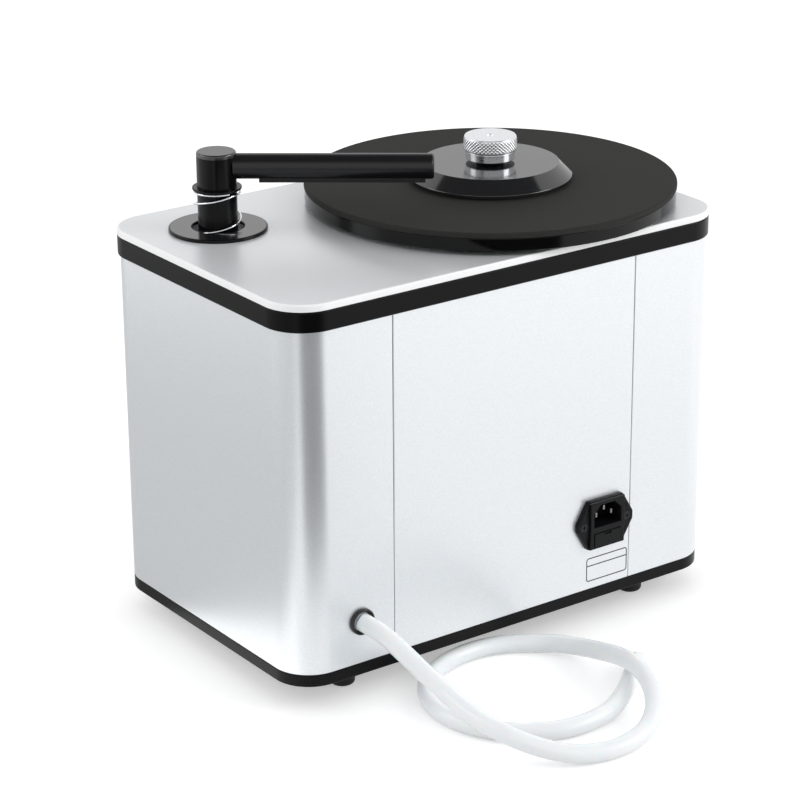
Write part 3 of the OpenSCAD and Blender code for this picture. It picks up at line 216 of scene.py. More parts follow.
hose_line = smooth_line([Vector(point) for point in hose_route], 6)
hose_shape = bmesh.new()
hose_skin = rings_along(hose_shape, hose_line, hose_outside, hose_sides)
hose_inside = rings_along(hose_shape, hose_line, hose_bore, hose_sides)
skin(hose_shape, hose_skin)
skin(hose_shape, hose_inside)
skin(hose_shape, [hose_skin[0], hose_inside[0]])
skin(hose_shape, [hose_skin[-1], hose_inside[-1]])
milky_vinyl = grained(
    "milky_vinyl", (253, 254, 255), (247, 251, 255), 0.02, 0.25, uneven=0.04,
    IOR=1.45, Subsurface_Weight=0.25, Subsurface_Scale=0.003,
)
hose = place("drain_hose_tube", hose_shape, milky_vinyl, "case", ["drain_hose"], sharp=60)


# Side covers and end panels
# White sheet steel, 2 mm thick, with a very fine metallic grain. A cover wraps each side with its corners.
# A flat panel closes the rear and the front between them. The edges at the four seams are rounded.
sheet_t = 0.002
sheet_edge = 0.0006
corner_r = 0.028
left_low, left_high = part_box("left_cover")
right_low, right_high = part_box("right_cover")
rear_low, rear_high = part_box("rear_panel")
front_low, front_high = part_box("front_panel")
body_w = left_high.x - right_low.x
body_d = left_high.y - left_low.y
case_x = (left_high.x + right_low.x) / 2
rear_y = rear_high.y


def arc(middle, radius, start, end, steps=32):
    """Points on an arc from one angle to another, in degrees."""
    points = []
    for k in range(steps + 1):
        turn = math.radians(start + (end - start) * k / steps)
        points.append((middle[0] + radius * math.cos(turn), middle[1] + radius * math.sin(turn)))
    return points


def wall(shape, outer, inner, bottom, top, closed):
    """Upright sheet between two outlines that have the same number of points."""
    lines = ((outer, bottom), (outer, top), (inner, top), (inner, bottom))
    rings = [[shape.verts.new((x, y, z)) for x, y in line] for line, z in lines]
    count = len(outer)
    for i in range(count if closed else count - 1):
        j = (i + 1) % count
        for a, b in zip(rings, rings[1:] + rings[:1]):
            shape.faces.new((a[i], a[j], b[j], b[i]))
    if not closed:
        shape.faces.new([ring[0] for ring in rings])
        shape.faces.new([ring[-1] for ring in rings])


def cover_line(side, seam, inset):
    """Half outline of the case on one side, from the rear seam round to the front seam."""
    radius = corner_r - inset
    middle_x = case_x + side * (body_w / 2 - corner_r)
    middle_y = body_d / 2 - corner_r
    end = 0 if side > 0 else 180
    rear = arc((middle_x, middle_y), radius, 90, end)
    front = arc((middle_x, -middle_y), radius, -end, -90)
    edge = body_d / 2 - inset
    return [(seam, edge), *rear, *front, (seam, -edge)]


def thicken(shape, faces, way):
    """Gives a flat sheet its thickness in one direction."""
    thick = bmesh.ops.extrude_face_region(shape, geom=faces)
    moved = [item for item in thick["geom"] if isinstance(item, bmesh.types.BMVert)]
    bmesh.ops.translate(shape, verts=moved, vec=way)


def sheet_with_windows(shape, xs, zs, windows, y_out, y_in):
    """Flat upright sheet cut along the given lines, with some of its cells left open."""
    grid = [[shape.verts.new((x, y_out, z)) for x in xs] for z in zs]
    faces = []
    for row, (lower, upper) in enumerate(zip(grid, grid[1:])):
        for k in range(len(xs) - 1):
            if (k, row) not in windows:
                faces.append(shape.faces.new((lower[k], lower[k + 1], upper[k + 1], upper[k])))
    for vert in [v for v in shape.verts if not v.link_faces]:
        shape.verts.remove(vert)
    thicken(shape, faces, (0, y_in - y_out, 0))


white_steel = grained(
    "white_steel", (236, 239, 242), (222, 226, 229), 0.0007, 0.34, metal=0.75, uneven=0.05, relief=0.00001,
)
for side, name, seam in ((1, "left_cover", left_low.x), (-1, "right_cover", right_high.x)):
    cover = bmesh.new()
    wall(cover, cover_line(side, seam, 0), cover_line(side, seam, sheet_t), left_low.z, left_high.z, False)
    place(name + "_sheet", cover, white_steel, "case", [name], edge=sheet_edge)

inlet_low, inlet_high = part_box("power_inlet")
inlet_x = (inlet_low.x + inlet_high.x) / 2
inlet_z = (inlet_low.z + inlet_high.z) / 2
inlet_body_w = 0.0275
inlet_body_h = 0.0352
inlet_fit = 0.0002
rear = bmesh.new()
sheet_with_windows(
    rear,
    [rear_low.x, inlet_x - inlet_body_w / 2 - inlet_fit, inlet_x + inlet_body_w / 2 + inlet_fit, rear_high.x],
    [rear_low.z, inlet_z - inlet_body_h / 2 - inlet_fit, inlet_z + inlet_body_h / 2 + inlet_fit, rear_high.z],
    {(1, 1)}, rear_y, rear_y - sheet_t,
)
place("rear_panel_sheet", rear, white_steel, "case", ["rear_panel"], edge=sheet_edge)

switch_low, switch_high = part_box("switch_bodies")
bezel_w = 0.032
bezel_h = 0.025
bezel_t = 0.002
bezel_lip = 0.002
switch_body_w = bezel_w - 2 * bezel_lip
switch_body_h = bezel_h - 2 * bezel_lip
switch_z = (switch_low.z + switch_high.z) / 2
switch_xs = (switch_low.x + bezel_w / 2, switch_high.x - bezel_w / 2)
front_cuts = [front_low.x]
for x in switch_xs:
    front_cuts += [x - switch_body_w / 2, x + switch_body_w / 2]
front = bmesh.new()
sheet_with_windows(
    front, [*front_cuts, front_high.x],
    [front_low.z, switch_z - switch_body_h / 2, switch_z + switch_body_h / 2, front_high.z],
    {(1, 1), (3, 1)}, front_low.y, front_low.y + sheet_t,
)
place("front_panel_sheet", front, white_steel, "case", ["front_panel"], edge=sheet_edge)


# Rating outline
# The frame of a rating label at the rear: a thin printed border with round corners and one dividing line.
# It carries no words and lies in a film 0.05 mm thick on the panel.
label_w = 0.0382
label_h = 0.0186
label_line = 0.0008
label_round = 0.0025
label_film = 0.00005
label_middle = (-0.0776, 0.0422)
label_divider = 0.0452


def rounded(width, depth, radius, middle=(0.0, 0.0), steps=24):
    """Outline of a rectangle with round corners."""
    points = []
    for quarter, (sx, sy) in enumerate(((1, 1), (-1, 1), (-1, -1), (1, -1))):
        centre = (middle[0] + sx * (width / 2 - radius), middle[1] + sy * (depth / 2 - radius))
        points += arc(centre, radius, 90 * quarter, 90 * quarter + 90, steps)
    return points


def against_rear(shape):
    """Lays a shape that was made flat on the rear panel: its X stays, its Y becomes the height."""
    upright = Matrix(((1, 0, 0, 0), (0, 0, 1, rear_y), (0, 1, 0, 0), (0, 0, 0, 1)))
    bmesh.ops.transform(shape, matrix=upright, verts=shape.verts)


def block(shape, middle, size):
    """Plain block with a given middle and size."""
    bmesh.ops.create_cube(shape, size=1.0, matrix=Matrix.Translation(middle) @ Matrix.Diagonal((*size, 1)))


label = bmesh.new()
wall(
    label, rounded(label_w, label_h, label_round, label_middle, 8),
    rounded(label_w - 2 * label_line, label_h - 2 * label_line, label_round - label_line, label_middle, 8),
    0, label_film, True,
)
divider_middle = (label_middle[0], label_divider, label_film / 2)
block(label, divider_middle, (label_w - label_line, label_line, label_film))
against_rear(label)
dark_print = grained("dark_print", (26, 27, 30), (20, 21, 24), 0.004, 0.6)
place("rating_outline", label, dark_print, "case")


# Base tray with its feet
# Black band of folded steel round the foot of the case, in one piece with the tray's slotted floor.
# Each rubber foot is a turned plug with a rounded lower edge and a recess for its screw.
tray_low, tray_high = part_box("base_tray")
tray_floor = 0.002
tray_edge = 0.0006
vent_middle = (-0.102, -0.045)
vent_count = 9
vent_pitch = 0.009
vent_w = 0.004
vent_d = 0.060
vent_r = vent_w / 2 - 0.00001
foot_r = 0.009
foot_round = 0.003
foot_bore_r = 0.0022
recess_r = 0.0039
recess_top = 0.003
recess_edge = 0.0003
foot_xs = (case_x - 0.131, case_x + 0.131)
foot_ys = (-0.0905, 0.0905)


def soften(corners, rounding, steps=5, support=0.00015):
    """Rounds the corners of a closed profile. Each corner has its radius, and 0 leaves it sharp."""
    made = []
    for i, radius in enumerate(rounding):
        here = Vector(corners[i])
        if not radius:
            made.append(tuple(here))
            continue
        before = (Vector(corners[i - 1]) - here).normalized()
        after = (Vector(corners[(i + 1) % len(corners)]) - here).normalized()
        half = before.angle(after) / 2
        reach = radius / math.tan(half)
        middle = here + (before + after).normalized() * (radius / math.sin(half))
        first = here + before * reach - middle
        last = here + after * reach - middle
        start = math.atan2(first.y, first.x)
        turn = (math.atan2(last.y, last.x) - start + math.pi) % (2 * math.pi) - math.pi
        bend = [start + turn * k / steps for k in range(steps + 1)]
        bend = [(middle.x + radius * math.cos(angle), middle.y + radius * math.sin(angle)) for angle in bend]
        if support:
            bend = [tuple(here + before * (reach + support)), *bend, tuple(here + after * (reach + support))]
        made += bend
    return made


def moulding(shape, width, depth, radius, middle, profile, steps=32):
    """Carries a closed profile of (distance in from the outline, height) round a rounded rectangle."""
    rings = []
    for inset, height in profile:
        line = rounded(width - 2 * inset, depth - 2 * inset, radius - inset, middle, steps)
        rings.append([shape.verts.new((x, y, height)) for x, y in line])
    skin(shape, [*rings, rings[0]])


def round_over(shape, faces, radius, steps=3, support=0.0001):
    """Rounds the borders of a flat cap with steps that go in and up. One step makes a chamfer."""
    bmesh.ops.recalc_face_normals(shape, faces=shape.faces)
    for k in range(steps):
        start = math.pi / 2 * k / steps
        end = math.pi / 2 * (k + 1) / steps
        bmesh.ops.inset_region(
            shape, faces=faces, thickness=radius * (math.cos(start) - math.cos(end)),
            depth=radius * (math.sin(end) - math.sin(start)), use_boundary=True, use_even_offset=True,
        )
    bmesh.ops.inset_region(shape, faces=faces, thickness=support, use_boundary=True, use_even_offset=True)


def plate(shape, outline, holes, bottom, top, edge=0.0, steps=3):
    """Flat plate with holes, filled between its outlines. Its upper edges can be round."""
    edges = []
    for line in (outline, *holes):
        ring = [shape.verts.new((x, y, top - edge)) for x, y in line]
        edges += [shape.edges.new((a, b)) for a, b in zip(ring, ring[1:] + ring[:1])]
    filled = bmesh.ops.triangle_fill(shape, use_beauty=True, edges=edges)
    faces = [item for item in filled["geom"] if isinstance(item, bmesh.types.BMFace)]
    thicken(shape, faces, (0, 0, bottom - top + edge))
    if edge:
        round_over(shape, faces, edge, steps)


def lathe(shape, profile, centre=(0.0, 0.0), steps=144):
    """Turns a profile of (radius, height) points round the upright axis through centre."""
    points = [shape.verts.new((centre[0] + radius, centre[1], height)) for radius, height in profile]
    on_axis = profile[0][0] == 0 and profile[-1][0] == 0
    edges = [shape.edges.new((a, b)) for a, b in zip(points, points[1:])]
    if not on_axis:
        edges.append(shape.edges.new((points[-1], points[0])))
    bmesh.ops.spin(
        shape, geom=points + edges, cent=(centre[0], centre[1], 0), axis=(0, 0, 1),
        angle=2 * math.pi, steps=steps, use_merge=True,
    )
    bmesh.ops.remove_doubles(shape, verts=shape.verts, dist=1e-6)


def section(inner, outer, bottom, top):
    """Square section of a ring between two radii and two heights."""
    return [(inner, bottom), (outer, bottom), (outer, top), (inner, top)]


def lathed(corners, rounding, centre, steps, bend_steps=5):
    """New shape turned from a section whose corners are rounded."""
    shape = bmesh.new()
    lathe(shape, soften(corners, rounding, bend_steps), centre, steps)
    return shape


tray = bmesh.new()
tray_profile = soften(
    [(0, tray_low.z), (0, tray_high.z), (sheet_t, tray_high.z), (sheet_t, tray_low.z)],
    [tray_edge, tray_edge, 0, 0], 3,
)
moulding(tray, body_w, body_d, corner_r, (case_x, 0), tray_profile)
vents = []
for i in range(vent_count):
    vent_x = vent_middle[0] + (i - (vent_count - 1) / 2) * vent_pitch
    vents.append(rounded(vent_w, vent_d, vent_r, (vent_x, vent_middle[1]), 6))
tray_inner = rounded(body_w - 2 * sheet_t, body_d - 2 * sheet_t, corner_r - sheet_t, (case_x, 0), 16)
plate(tray, tray_inner, vents, tray_low.z, tray_low.z + tray_floor)
black_steel = grained(
    "black_steel", (9, 9, 10), (5, 5, 6), 0.0006, 0.3, uneven=0.04, relief=0.000006,
    Specular_IOR_Level=0.13,
)
place("base_band", tray, black_steel, "case", ["base_tray"])

feet = bmesh.new()
foot_profile = soften(
    [
        (recess_r, 0), (foot_r, 0), (foot_r, tray_low.z), (foot_bore_r, tray_low.z),
        (foot_bore_r, recess_top), (recess_r, recess_top),
    ],
    [recess_edge, foot_round, 0, 0, 0, 0],
)
for foot_x in foot_xs:
    for foot_y in foot_ys:
        lathe(feet, foot_profile, (foot_x, foot_y), 48)
foot_rubber = grained(
    "foot_rubber", (22, 22, 23), (14, 14, 15), 0.001, 0.55, relief=0.00001, Specular_IOR_Level=0.3,
)
place("rubber_feet", feet, foot_rubber, "case", ["feet"])


# Top trim and top plate
# Black pressed trim that stands 2 mm proud of the case, with rounded outer edges and an inner ledge.
# The satin aluminium plate lies on it, with a round well for the column. Its rounded rim is painted near
# white as a painted highlight.
trim_low, trim_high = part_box("top_trim")
plate_low, plate_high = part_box("top_plate")
trim_w = trim_high.x - trim_low.x
trim_d = trim_high.y - trim_low.y
trim_r = 0.030
trim_wall = 0.004
trim_edge = 0.0012
trim_foot_edge = 0.0006
trim_steps = 48
ledge_t = 0.004
ledge_w = 0.018
column_low, column_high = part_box("arm_column")
column = ((column_low.x + column_high.x) / 2, (column_low.y + column_high.y) / 2)
column_r = (column_high.x - column_low.x) / 2
well_r = 0.019
deck_rim = 0.0015
deck_edge = 0.0012
deck_foot_edge = 0.0006
ledge_end = trim_wall + ledge_w
ledge_z = trim_high.z - ledge_t
trim = bmesh.new()
trim_profile = soften(
    [
        (0, trim_low.z), (0, trim_high.z), (ledge_end, trim_high.z),
        (ledge_end, ledge_z), (trim_wall, ledge_z), (trim_wall, trim_low.z),
    ],
    [trim_edge, trim_edge, 0, 0, 0, trim_foot_edge],
)
moulding(trim, trim_w, trim_d, trim_r, (case_x, 0), trim_profile, trim_steps)
place("top_trim_moulding", trim, black_steel, "case", ["top_trim"])

rim = bmesh.new()
rim_profile = soften(
    [(0, plate_low.z), (0, plate_high.z), (deck_rim, plate_high.z), (deck_rim, plate_low.z)],
    [deck_foot_edge, deck_edge, 0, 0],
)
moulding(rim, trim_w, trim_d, trim_r, (case_x, 0), rim_profile, trim_steps)
# Painted highlight: the plate's rounded rim is coloured near white and matte, to show the bright line of its
# lit edge.
painted_highlight_edge = grained("painted_highlight_edge", (254, 254, 255), (249, 250, 251), 0.0008, 0.3, uneven=0.04)
place("deck_plate_edge", rim, painted_highlight_edge, "case")


def circle(middle, radius, count):
    """Outline of a circle."""
    return arc(middle, radius, 0, 360 - 360 / count, count - 1)


deck = bmesh.new()
deck_inner = rounded(
    trim_w - 2 * deck_rim, trim_d - 2 * deck_rim, trim_r - deck_rim, (case_x, 0), trim_steps,
)
plate(deck, deck_inner, [circle(column, well_r, 60)], plate_low.z, plate_high.z)
satin_aluminium = grained(
    "satin_aluminium", (232, 234, 236), (222, 225, 228), 0.0008, 0.32,
    metal=0.35, uneven=0.04, relief=0.000008,
)
place("deck_plate", deck, satin_aluminium, "case", ["top_plate"])


# Flange ring and suction arm
# A glossy ring with a duller rim covers the well. The column is a black tube with a rounded cap.
# The arm tube has a slot between two fabric pads underneath, and a rounded plug closes its end.
flange_low, flange_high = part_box("arm_flange")
collar_low, collar_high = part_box("arm_collar")
cap_low, cap_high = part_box("column_cap")
pads_low, pads_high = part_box("slot_pads")
flange_r = (flange_high.x - flange_low.x) / 2
flange_band = 0.0012
flange_edge = 0.0009
flange_foot_edge = 0.0002
flange_steps = 160
well_edge = 0.0004
collar_r = (collar_high.x - collar_low.x) / 2
collar_edge = 0.0005
column_wall = 0.0025
column_edge = 0.0006
bore_edge = 0.0003
column_steps = 96
cap_edge = 0.0014
arm_r = 0.009
arm_wall = 0.0015
arm_seat = 0.0005
arm_over_plate = 0.046
arm_z = plate_high.z + arm_over_plate
arm_direction = math.radians(142.8)
arm_reach = 0.1519
plug_edge = 0.002
plug_depth = 0.008
plug_fit = 0.0001
pad_start = 0.0299
pad_l = 0.116
pad_end = pad_start + pad_l
pad_w = 0.0045
pad_edge = 0.0006
slot_w = 0.0024
slot_margin = 0.004
arm_frame = Matrix.Translation((*column, arm_z)) @ Matrix.Rotation(arm_direction, 4, "Z")

band_r = flange_r - flange_band
flange = lathed(
    section(well_r, band_r, flange_low.z, flange_high.z), [0, 0, 0, well_edge], column, flange_steps,
)
flange_black = grained("flange_black", (20, 20, 22), (14, 14, 16), 0.003, 0.16, uneven=0.02, IOR=1.9)
place("arm_flange_ring", flange, flange_black, "case", ["arm_flange"])

band = lathed(
    section(band_r, flange_r, flange_low.z, flange_high.z), [0, flange_foot_edge, flange_edge, 0],
    column, flange_steps,
)
column_black = grained(
    "column_black", (10, 10, 12), (6, 6, 8), 0.0009, 0.24, uneven=0.03, relief=0.000006,
    Specular_IOR_Level=0.17,
)
place("arm_flange_rim", band, column_black, "case")

arm_black = grained(
    "arm_black", (22, 22, 25), (15, 15, 18), 0.0009, 0.3, uneven=0.03, relief=0.000006,
    Specular_IOR_Level=0.4,
)
bore_r = column_r - column_wall
tube = lathed(
    section(bore_r, column_r, column_low.z, cap_low.z), [bore_edge, column_edge, 0, 0],
    column, column_steps,
)
place("column_tube", tube, column_black, "arm", ["arm_column"])

cap = lathed(section(0, column_r, cap_low.z, cap_high.z), [0, 0, cap_edge, 0], column, column_steps, 6)
cap_black = grained(
    "cap_black", (16, 16, 18), (10, 10, 12), 0.0007, 0.26, uneven=0.04, relief=0.000006, IOR=1.8,
)
place("column_lid", cap, cap_black, "arm", ["column_cap"])

collar = lathed(
    section(column_r, collar_r, collar_low.z, collar_high.z), [0, collar_edge, collar_edge, 0],
    column, column_steps, 4,
)
place("spring_collar", collar, column_black, "arm", ["arm_collar"])


def arm_section(shape, x, radius, gap, steps=64):
    """Ring across the arm at distance x. It is open below by the angle that clears the gap."""
    half = math.asin(gap / 2 / radius)
    ring = []
    for k in range(steps + 1):
        turn = -math.pi / 2 + half + (2 * math.pi - 2 * half) * k / steps
        ring.append(shape.verts.new((x, radius * math.cos(turn), radius * math.sin(turn))))
    return ring


arm = bmesh.new()
inner_r = arm_r - arm_wall
plug_seat = arm_reach - plug_edge
stations = (bore_r + arm_seat, pad_start + slot_margin, pad_end - slot_margin, plug_seat)
outer_rings = [arm_section(arm, x, arm_r, slot_w) for x in stations]
inner_rings = [arm_section(arm, x, inner_r, slot_w) for x in stations]
# The slot stays open between the two middle rings
for rings in (outer_rings, inner_rings):
    for index, (near, far) in enumerate(zip(rings, rings[1:])):
        for k in range(len(near) - 1):
            arm.faces.new((near[k], near[k + 1], far[k + 1], far[k]))
        if index != 1:
            arm.faces.new((near[-1], near[0], far[0], far[-1]))
for outer, inner in zip((outer_rings[0], outer_rings[-1]), (inner_rings[0], inner_rings[-1])):
    skin(arm, [outer, inner])
for k in (0, -1):
    arm.faces.new((outer_rings[1][k], outer_rings[2][k], inner_rings[2][k], inner_rings[1][k]))
for index in (1, 2):
    outer = outer_rings[index]
    inner = inner_rings[index]
    arm.faces.new((outer[-1], outer[0], inner[0], inner[-1]))
bmesh.ops.transform(arm, matrix=arm_frame, verts=arm.verts)
place("arm_tube_slotted", arm, arm_black, "arm", ["arm_tube"], sharp=30)

along_arm = arm_frame @ Matrix.Rotation(math.pi / 2, 4, "Y")
plug = bmesh.new()
plug_root = arm_reach - plug_depth
spigot_r = inner_r - plug_fit
plug_head = soften([(0, 0), (arm_r, 0), (arm_r, arm_reach), (0, arm_reach)], [0, 0, plug_edge, 0], 6)[3:]
lathe(plug, [(0, plug_root), (spigot_r, plug_root), (spigot_r, plug_seat), *plug_head], steps=64)
bmesh.ops.transform(plug, matrix=along_arm, verts=plug.verts)
place("arm_plug", plug, arm_black, "arm", ["arm_end_plug"])

pads = bmesh.new()
pad_bottom = pads_low.z - arm_z
pad_top = pads_high.z - arm_z
for side in (-1, 1):
    middle = ((pad_start + pad_end) / 2, side * (slot_w + pad_w) / 2, (pad_bottom + pad_top) / 2)
    block(pads, middle, (pad_l, pad_w, pad_top - pad_bottom))
bmesh.ops.transform(pads, matrix=arm_frame, verts=pads.verts)
pad_fabric = grained("pad_fabric", (24, 24, 27), (12, 12, 14), 0.0004, 0.95, relief=0.00008, Sheen_Weight=0.3)
place("velvet_pads", pads, pad_fabric, "arm", ["slot_pads"], edge=pad_edge)


# Lift spring
# Bright steel wire, 1.5 mm thick, wound round the column in one unbroken helix with closed end turns.
# The real spring shortens as the arm goes down; here it is one fixed helix that rides with the swivel.
seat_depth = 0.0325
seat_z = plate_high.z - seat_depth
wire_r = 0.00075
coil_r = 0.0162
end_pitch = 0.002
open_pitch = 0.0217
spring_phase = math.radians(233)
spring_free = collar_low.z - seat_z - 2 * wire_r
spring_turns = (spring_free - 2 * end_pitch) / open_pitch + 2
spring_steps = 40


def spring_height(turn):
    """Height of the wire's centre above the first turn."""
    if turn < 1:
        return turn * end_pitch
    if turn < spring_turns - 1:
        return end_pitch + (turn - 1) * open_pitch
    return spring_free - (spring_turns - turn) * end_pitch


spring_line = []
for step in range(int(spring_turns * spring_steps) + 1):
    turn = step / spring_steps
    angle = spring_phase + 2 * math.pi * turn
    spring_line.append(Vector((
        column[0] + coil_r * math.cos(angle), column[1] + coil_r * math.sin(angle),
        seat_z + wire_r + spring_height(turn),
    )))
coil = bmesh.new()
coil_rings = rings_along(coil, spring_line, wire_r, 12)
skin(coil, coil_rings)
coil.faces.new(coil_rings[0])
coil.faces.new(coil_rings[-1])
chrome = grained("chrome", (236, 237, 240), (226, 228, 232), 0.004, 0.08, metal=1.0, uneven=0.02)
spring = place("lift_spring", coil, chrome, "swivel", ["arm_spring"], sharp=60)
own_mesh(spring)


# Platter and mat
# The platter is a turned aluminium disc with a polished rim and a relieved underside.
# A dark mat of fine-grained rubber covers it and reaches half a millimetre past it.
platter_low, platter_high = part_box("platter")
mat_low, mat_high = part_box("platter_mat")
spindle = ((mat_low.x + mat_high.x) / 2, (mat_low.y + mat_high.y) / 2)
platter_r = (platter_high.x - platter_low.x) / 2
mat_r = (mat_high.x - mat_low.x) / 2
hub_bore = 0.0091
hub_foot_r = 0.030
hub_slope_r = 0.036
rim_w = 0.018
rim_slope_w = 0.024
relief_z = platter_low.z + 0.003
platter_edge = 0.0006
platter_foot_edge = 0.0008
mat_bore = 0.00365
mat_edge = 0.0015
mat_foot_edge = 0.0008
platter_steps = 256
disc = lathed(
    [
        (hub_bore, platter_low.z), (hub_foot_r, platter_low.z), (hub_slope_r, relief_z),
        (platter_r - rim_slope_w, relief_z), (platter_r - rim_w, platter_low.z),
        (platter_r, platter_low.z), (platter_r, platter_high.z), (hub_bore, platter_high.z),
    ],
    [0, 0, 0, 0, 0, platter_foot_edge, platter_edge, 0], spindle, platter_steps,
)
platter_metal = grained(
    "platter_metal", (12, 12, 13), (8, 8, 9), 0.002, 0.12, uneven=0.03, Specular_IOR_Level=0.2,
)
place("platter_disc", disc, platter_metal, "platter_group", ["platter"])

mat = lathed(
    section(mat_bore, mat_r, mat_low.z, mat_high.z), [0, mat_foot_edge, mat_edge, 0],
    spindle, platter_steps,
)
mat_rubber = grained(
    "mat_rubber", (46, 46, 44), (32, 32, 31), 0.0009, 0.8, uneven=0.1, relief=0.00005,
    Specular_IOR_Level=0.25,
)
place("rubber_mat", mat, mat_rubber, "platter_group", ["platter_mat"])


# Record clamp
# A black cone with a flat glossy top holds the record down through a rubber seal ring under its rim.
# The bright knob screws on to the spindle: a dark neck, a plain ring and a diamond-knurled drum with a bore.
disc_low, disc_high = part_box("clamp_disc")
seal_low, seal_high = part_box("clamp_seal")
knob_low, knob_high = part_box("clamp_knob")
clamp_r = (disc_high.x - disc_low.x) / 2
clamp_top_r = 0.0496
cone_edge = 0.0005
cone_foot_edge = 0.0006
shank_r = 0.00705
web_t = 0.004
hollow_r = 0.012
relief_t = 0.001
seal_r = (seal_high.x - seal_low.x) / 2
seal_w = 0.009
seal_seat_w = 0.015
seal_edge = 0.0005
neck_r = 0.010
stem_r = 0.0068
thread_r = 0.0037
drum_h = 0.0105
ring_h = 0.0064
knurl_z = knob_high.z - drum_h
ring_z = knurl_z - ring_h
knob_ring_r = 0.0179
knob_r = 0.0193
knurl_depth = 0.0006
knob_edge = 0.0006
peep_r = 0.0022
peep_edge = 0.0003
peep_depth = 0.005
knurl_around = 42
knurl_up = 4
knurl_samples = 8
knurl_fade = 6

cone = lathed(
    [
        (shank_r, disc_high.z - web_t), (hollow_r, disc_high.z - web_t), (hollow_r, disc_low.z + relief_t),
        (seal_r - seal_seat_w, disc_low.z + relief_t), (seal_r - seal_w, disc_low.z), (clamp_r, disc_low.z),
        (clamp_top_r, disc_high.z), (shank_r, disc_high.z),
    ],
    [0, 0, 0, 0, 0, cone_foot_edge, cone_edge, 0], spindle, 192,
)
clamp_black = grained("clamp_black", (18, 19, 22), (13, 14, 17), 0.004, 0.13, uneven=0.02, IOR=1.78)
place("clamp_cone", cone, clamp_black, "clamp", ["clamp_disc"])

seal = lathed(
    section(seal_r - seal_w, seal_r, seal_low.z, seal_high.z), [seal_edge, seal_edge, 0, 0], spindle, 128,
)
seal_rubber = grained("seal_rubber", (20, 20, 20), (12, 12, 12), 0.001, 0.6)
place("clamp_seal_ring", seal, seal_rubber, "clamp", ["clamp_seal"])

neck = bmesh.new()
lathe(neck, [
    (thread_r, knob_low.z), (stem_r, knob_low.z), (stem_r, disc_high.z), (neck_r, disc_high.z),
    (neck_r, ring_z), (thread_r, ring_z),
], spindle, 96)
place("clamp_knob_neck", neck, column_black, "knob")

knob = lathed(section(thread_r, knob_ring_r, ring_z, knurl_z), [0, knob_edge, knob_edge, 0], spindle, 128)
knurl_count = knurl_around * knurl_samples
knurl_rows = knurl_up * knurl_samples
knurl_top = knob_high.z - knob_edge
groove_r = knob_r - knurl_depth


def saw(value):
    """Height of a ridge: 0 in the groove, 1 half way to the next groove."""
    return 1 - abs(2 * (value % 1.0) - 1)


def level_ring(shape, radii, height):
    """Level ring of vertices round the spindle, one for each radius."""
    ring = []
    for k, radius in enumerate(radii):
        angle = 2 * math.pi * k / len(radii)
        x = spindle[0] + radius * math.cos(angle)
        y = spindle[1] + radius * math.sin(angle)
        ring.append(shape.verts.new((x, y, height)))
    return ring


knurl_rings = []
for row in range(knurl_rows + 1):
    share = row / knurl_rows
    fade = min(1.0, knurl_fade * share, knurl_fade * (1 - share))
    up = row / knurl_samples
    radii = []
    for k in range(knurl_count):
        around = k / knurl_samples
        ridge = min(saw(around + up), saw(around - up)) * fade
        radii.append(knob_r - knurl_depth * (1 - ridge))
    knurl_rings.append(level_ring(knob, radii, knurl_z + (knurl_top - knurl_z) * share))

top_line = [
    (groove_r - 0.5 * knob_edge, knob_high.z - 0.1 * knob_edge), (groove_r - knob_edge, knob_high.z),
    (groove_r - 2 * knob_edge, knob_high.z), (peep_r + 2 * peep_edge, knob_high.z),
    (peep_r + peep_edge, knob_high.z), (peep_r, knob_high.z - peep_edge), (peep_r, knob_high.z - peep_depth),
]
drum_rings = [level_ring(knob, [groove_r - knob_edge] * knurl_count, knurl_z), *knurl_rings]
drum_rings += [level_ring(knob, [radius] * knurl_count, height) for radius, height in top_line]
skin(knob, drum_rings)
knob.faces.new(drum_rings[0])
knob.faces.new(drum_rings[-1])
bright_aluminium = grained(
    "bright_aluminium", (232, 233, 236), (218, 220, 223), 0.0012, 0.18, metal=1.0, uneven=0.05,
)
place("clamp_knob_turned", knob, bright_aluminium, "knob", ["clamp_knob"], sharp=50)


# Power inlet with its fuse drawer
# Charcoal moulding with two screw ears and a raised frame. The plug recess has its upper corners cut off.
# Three flat pins stand in the recess, and the fuse drawer closes the slot under it.
pins_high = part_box("inlet_pins")[1]
drawer_low, drawer_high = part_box("fuse_drawer")
inlet_t = 0.004
ear_w = 0.051
ear_half = 0.003
ear_round = 0.003
flange_h = 0.038
flange_chamfer = 0.0014
flat_w = 0.032
opening_w = 0.029
opening_h = 0.0327
opening_drop = 0.0005
frame_w = 0.0315
frame_h = 0.036
frame_edge = 0.0007
recess_w = 0.025
recess_h = 0.017
recess_rise = 0.007
recess_cut = 0.006
recess_depth = 0.0165
pin_places = ((-0.007, 0.006), (0.007, 0.006), (0.0, 0.0105))
pin_w = 0.002
pin_h = 0.004
pin_edge = 0.0007
drawer_w = 0.0245
drawer_h = 0.011
drawer_z = (drawer_low.z + drawer_high.z) / 2
drawer_gap = 0.0002
drawer_edge = 0.0003
grip_w = 0.006
grip_h = 0.0016
grip_depth = 0.0012
screw_pitch = 0.040
screw_head_r = 0.0032
screw_sink = 0.0004
screw_top = inlet_t - screw_sink
screw_back = screw_top - 0.0007
screw_back_r = screw_head_r - 0.0003
head_t = 0.0006
head_edge = 0.0002
cross_reach = 0.0018
cross_w = 0.0006
shank_end = -0.006
screw_shank_r = 0.0016
countersink = 0.0012
skin_gap = 0.00005
inlet_face = inlet_high.y


def box_line(width, height, middle):
    """Outline of a plain rectangle."""
    x, y = middle
    return [
        (x + width / 2, y + height / 2), (x - width / 2, y + height / 2),
        (x - width / 2, y - height / 2), (x + width / 2, y - height / 2),
    ]


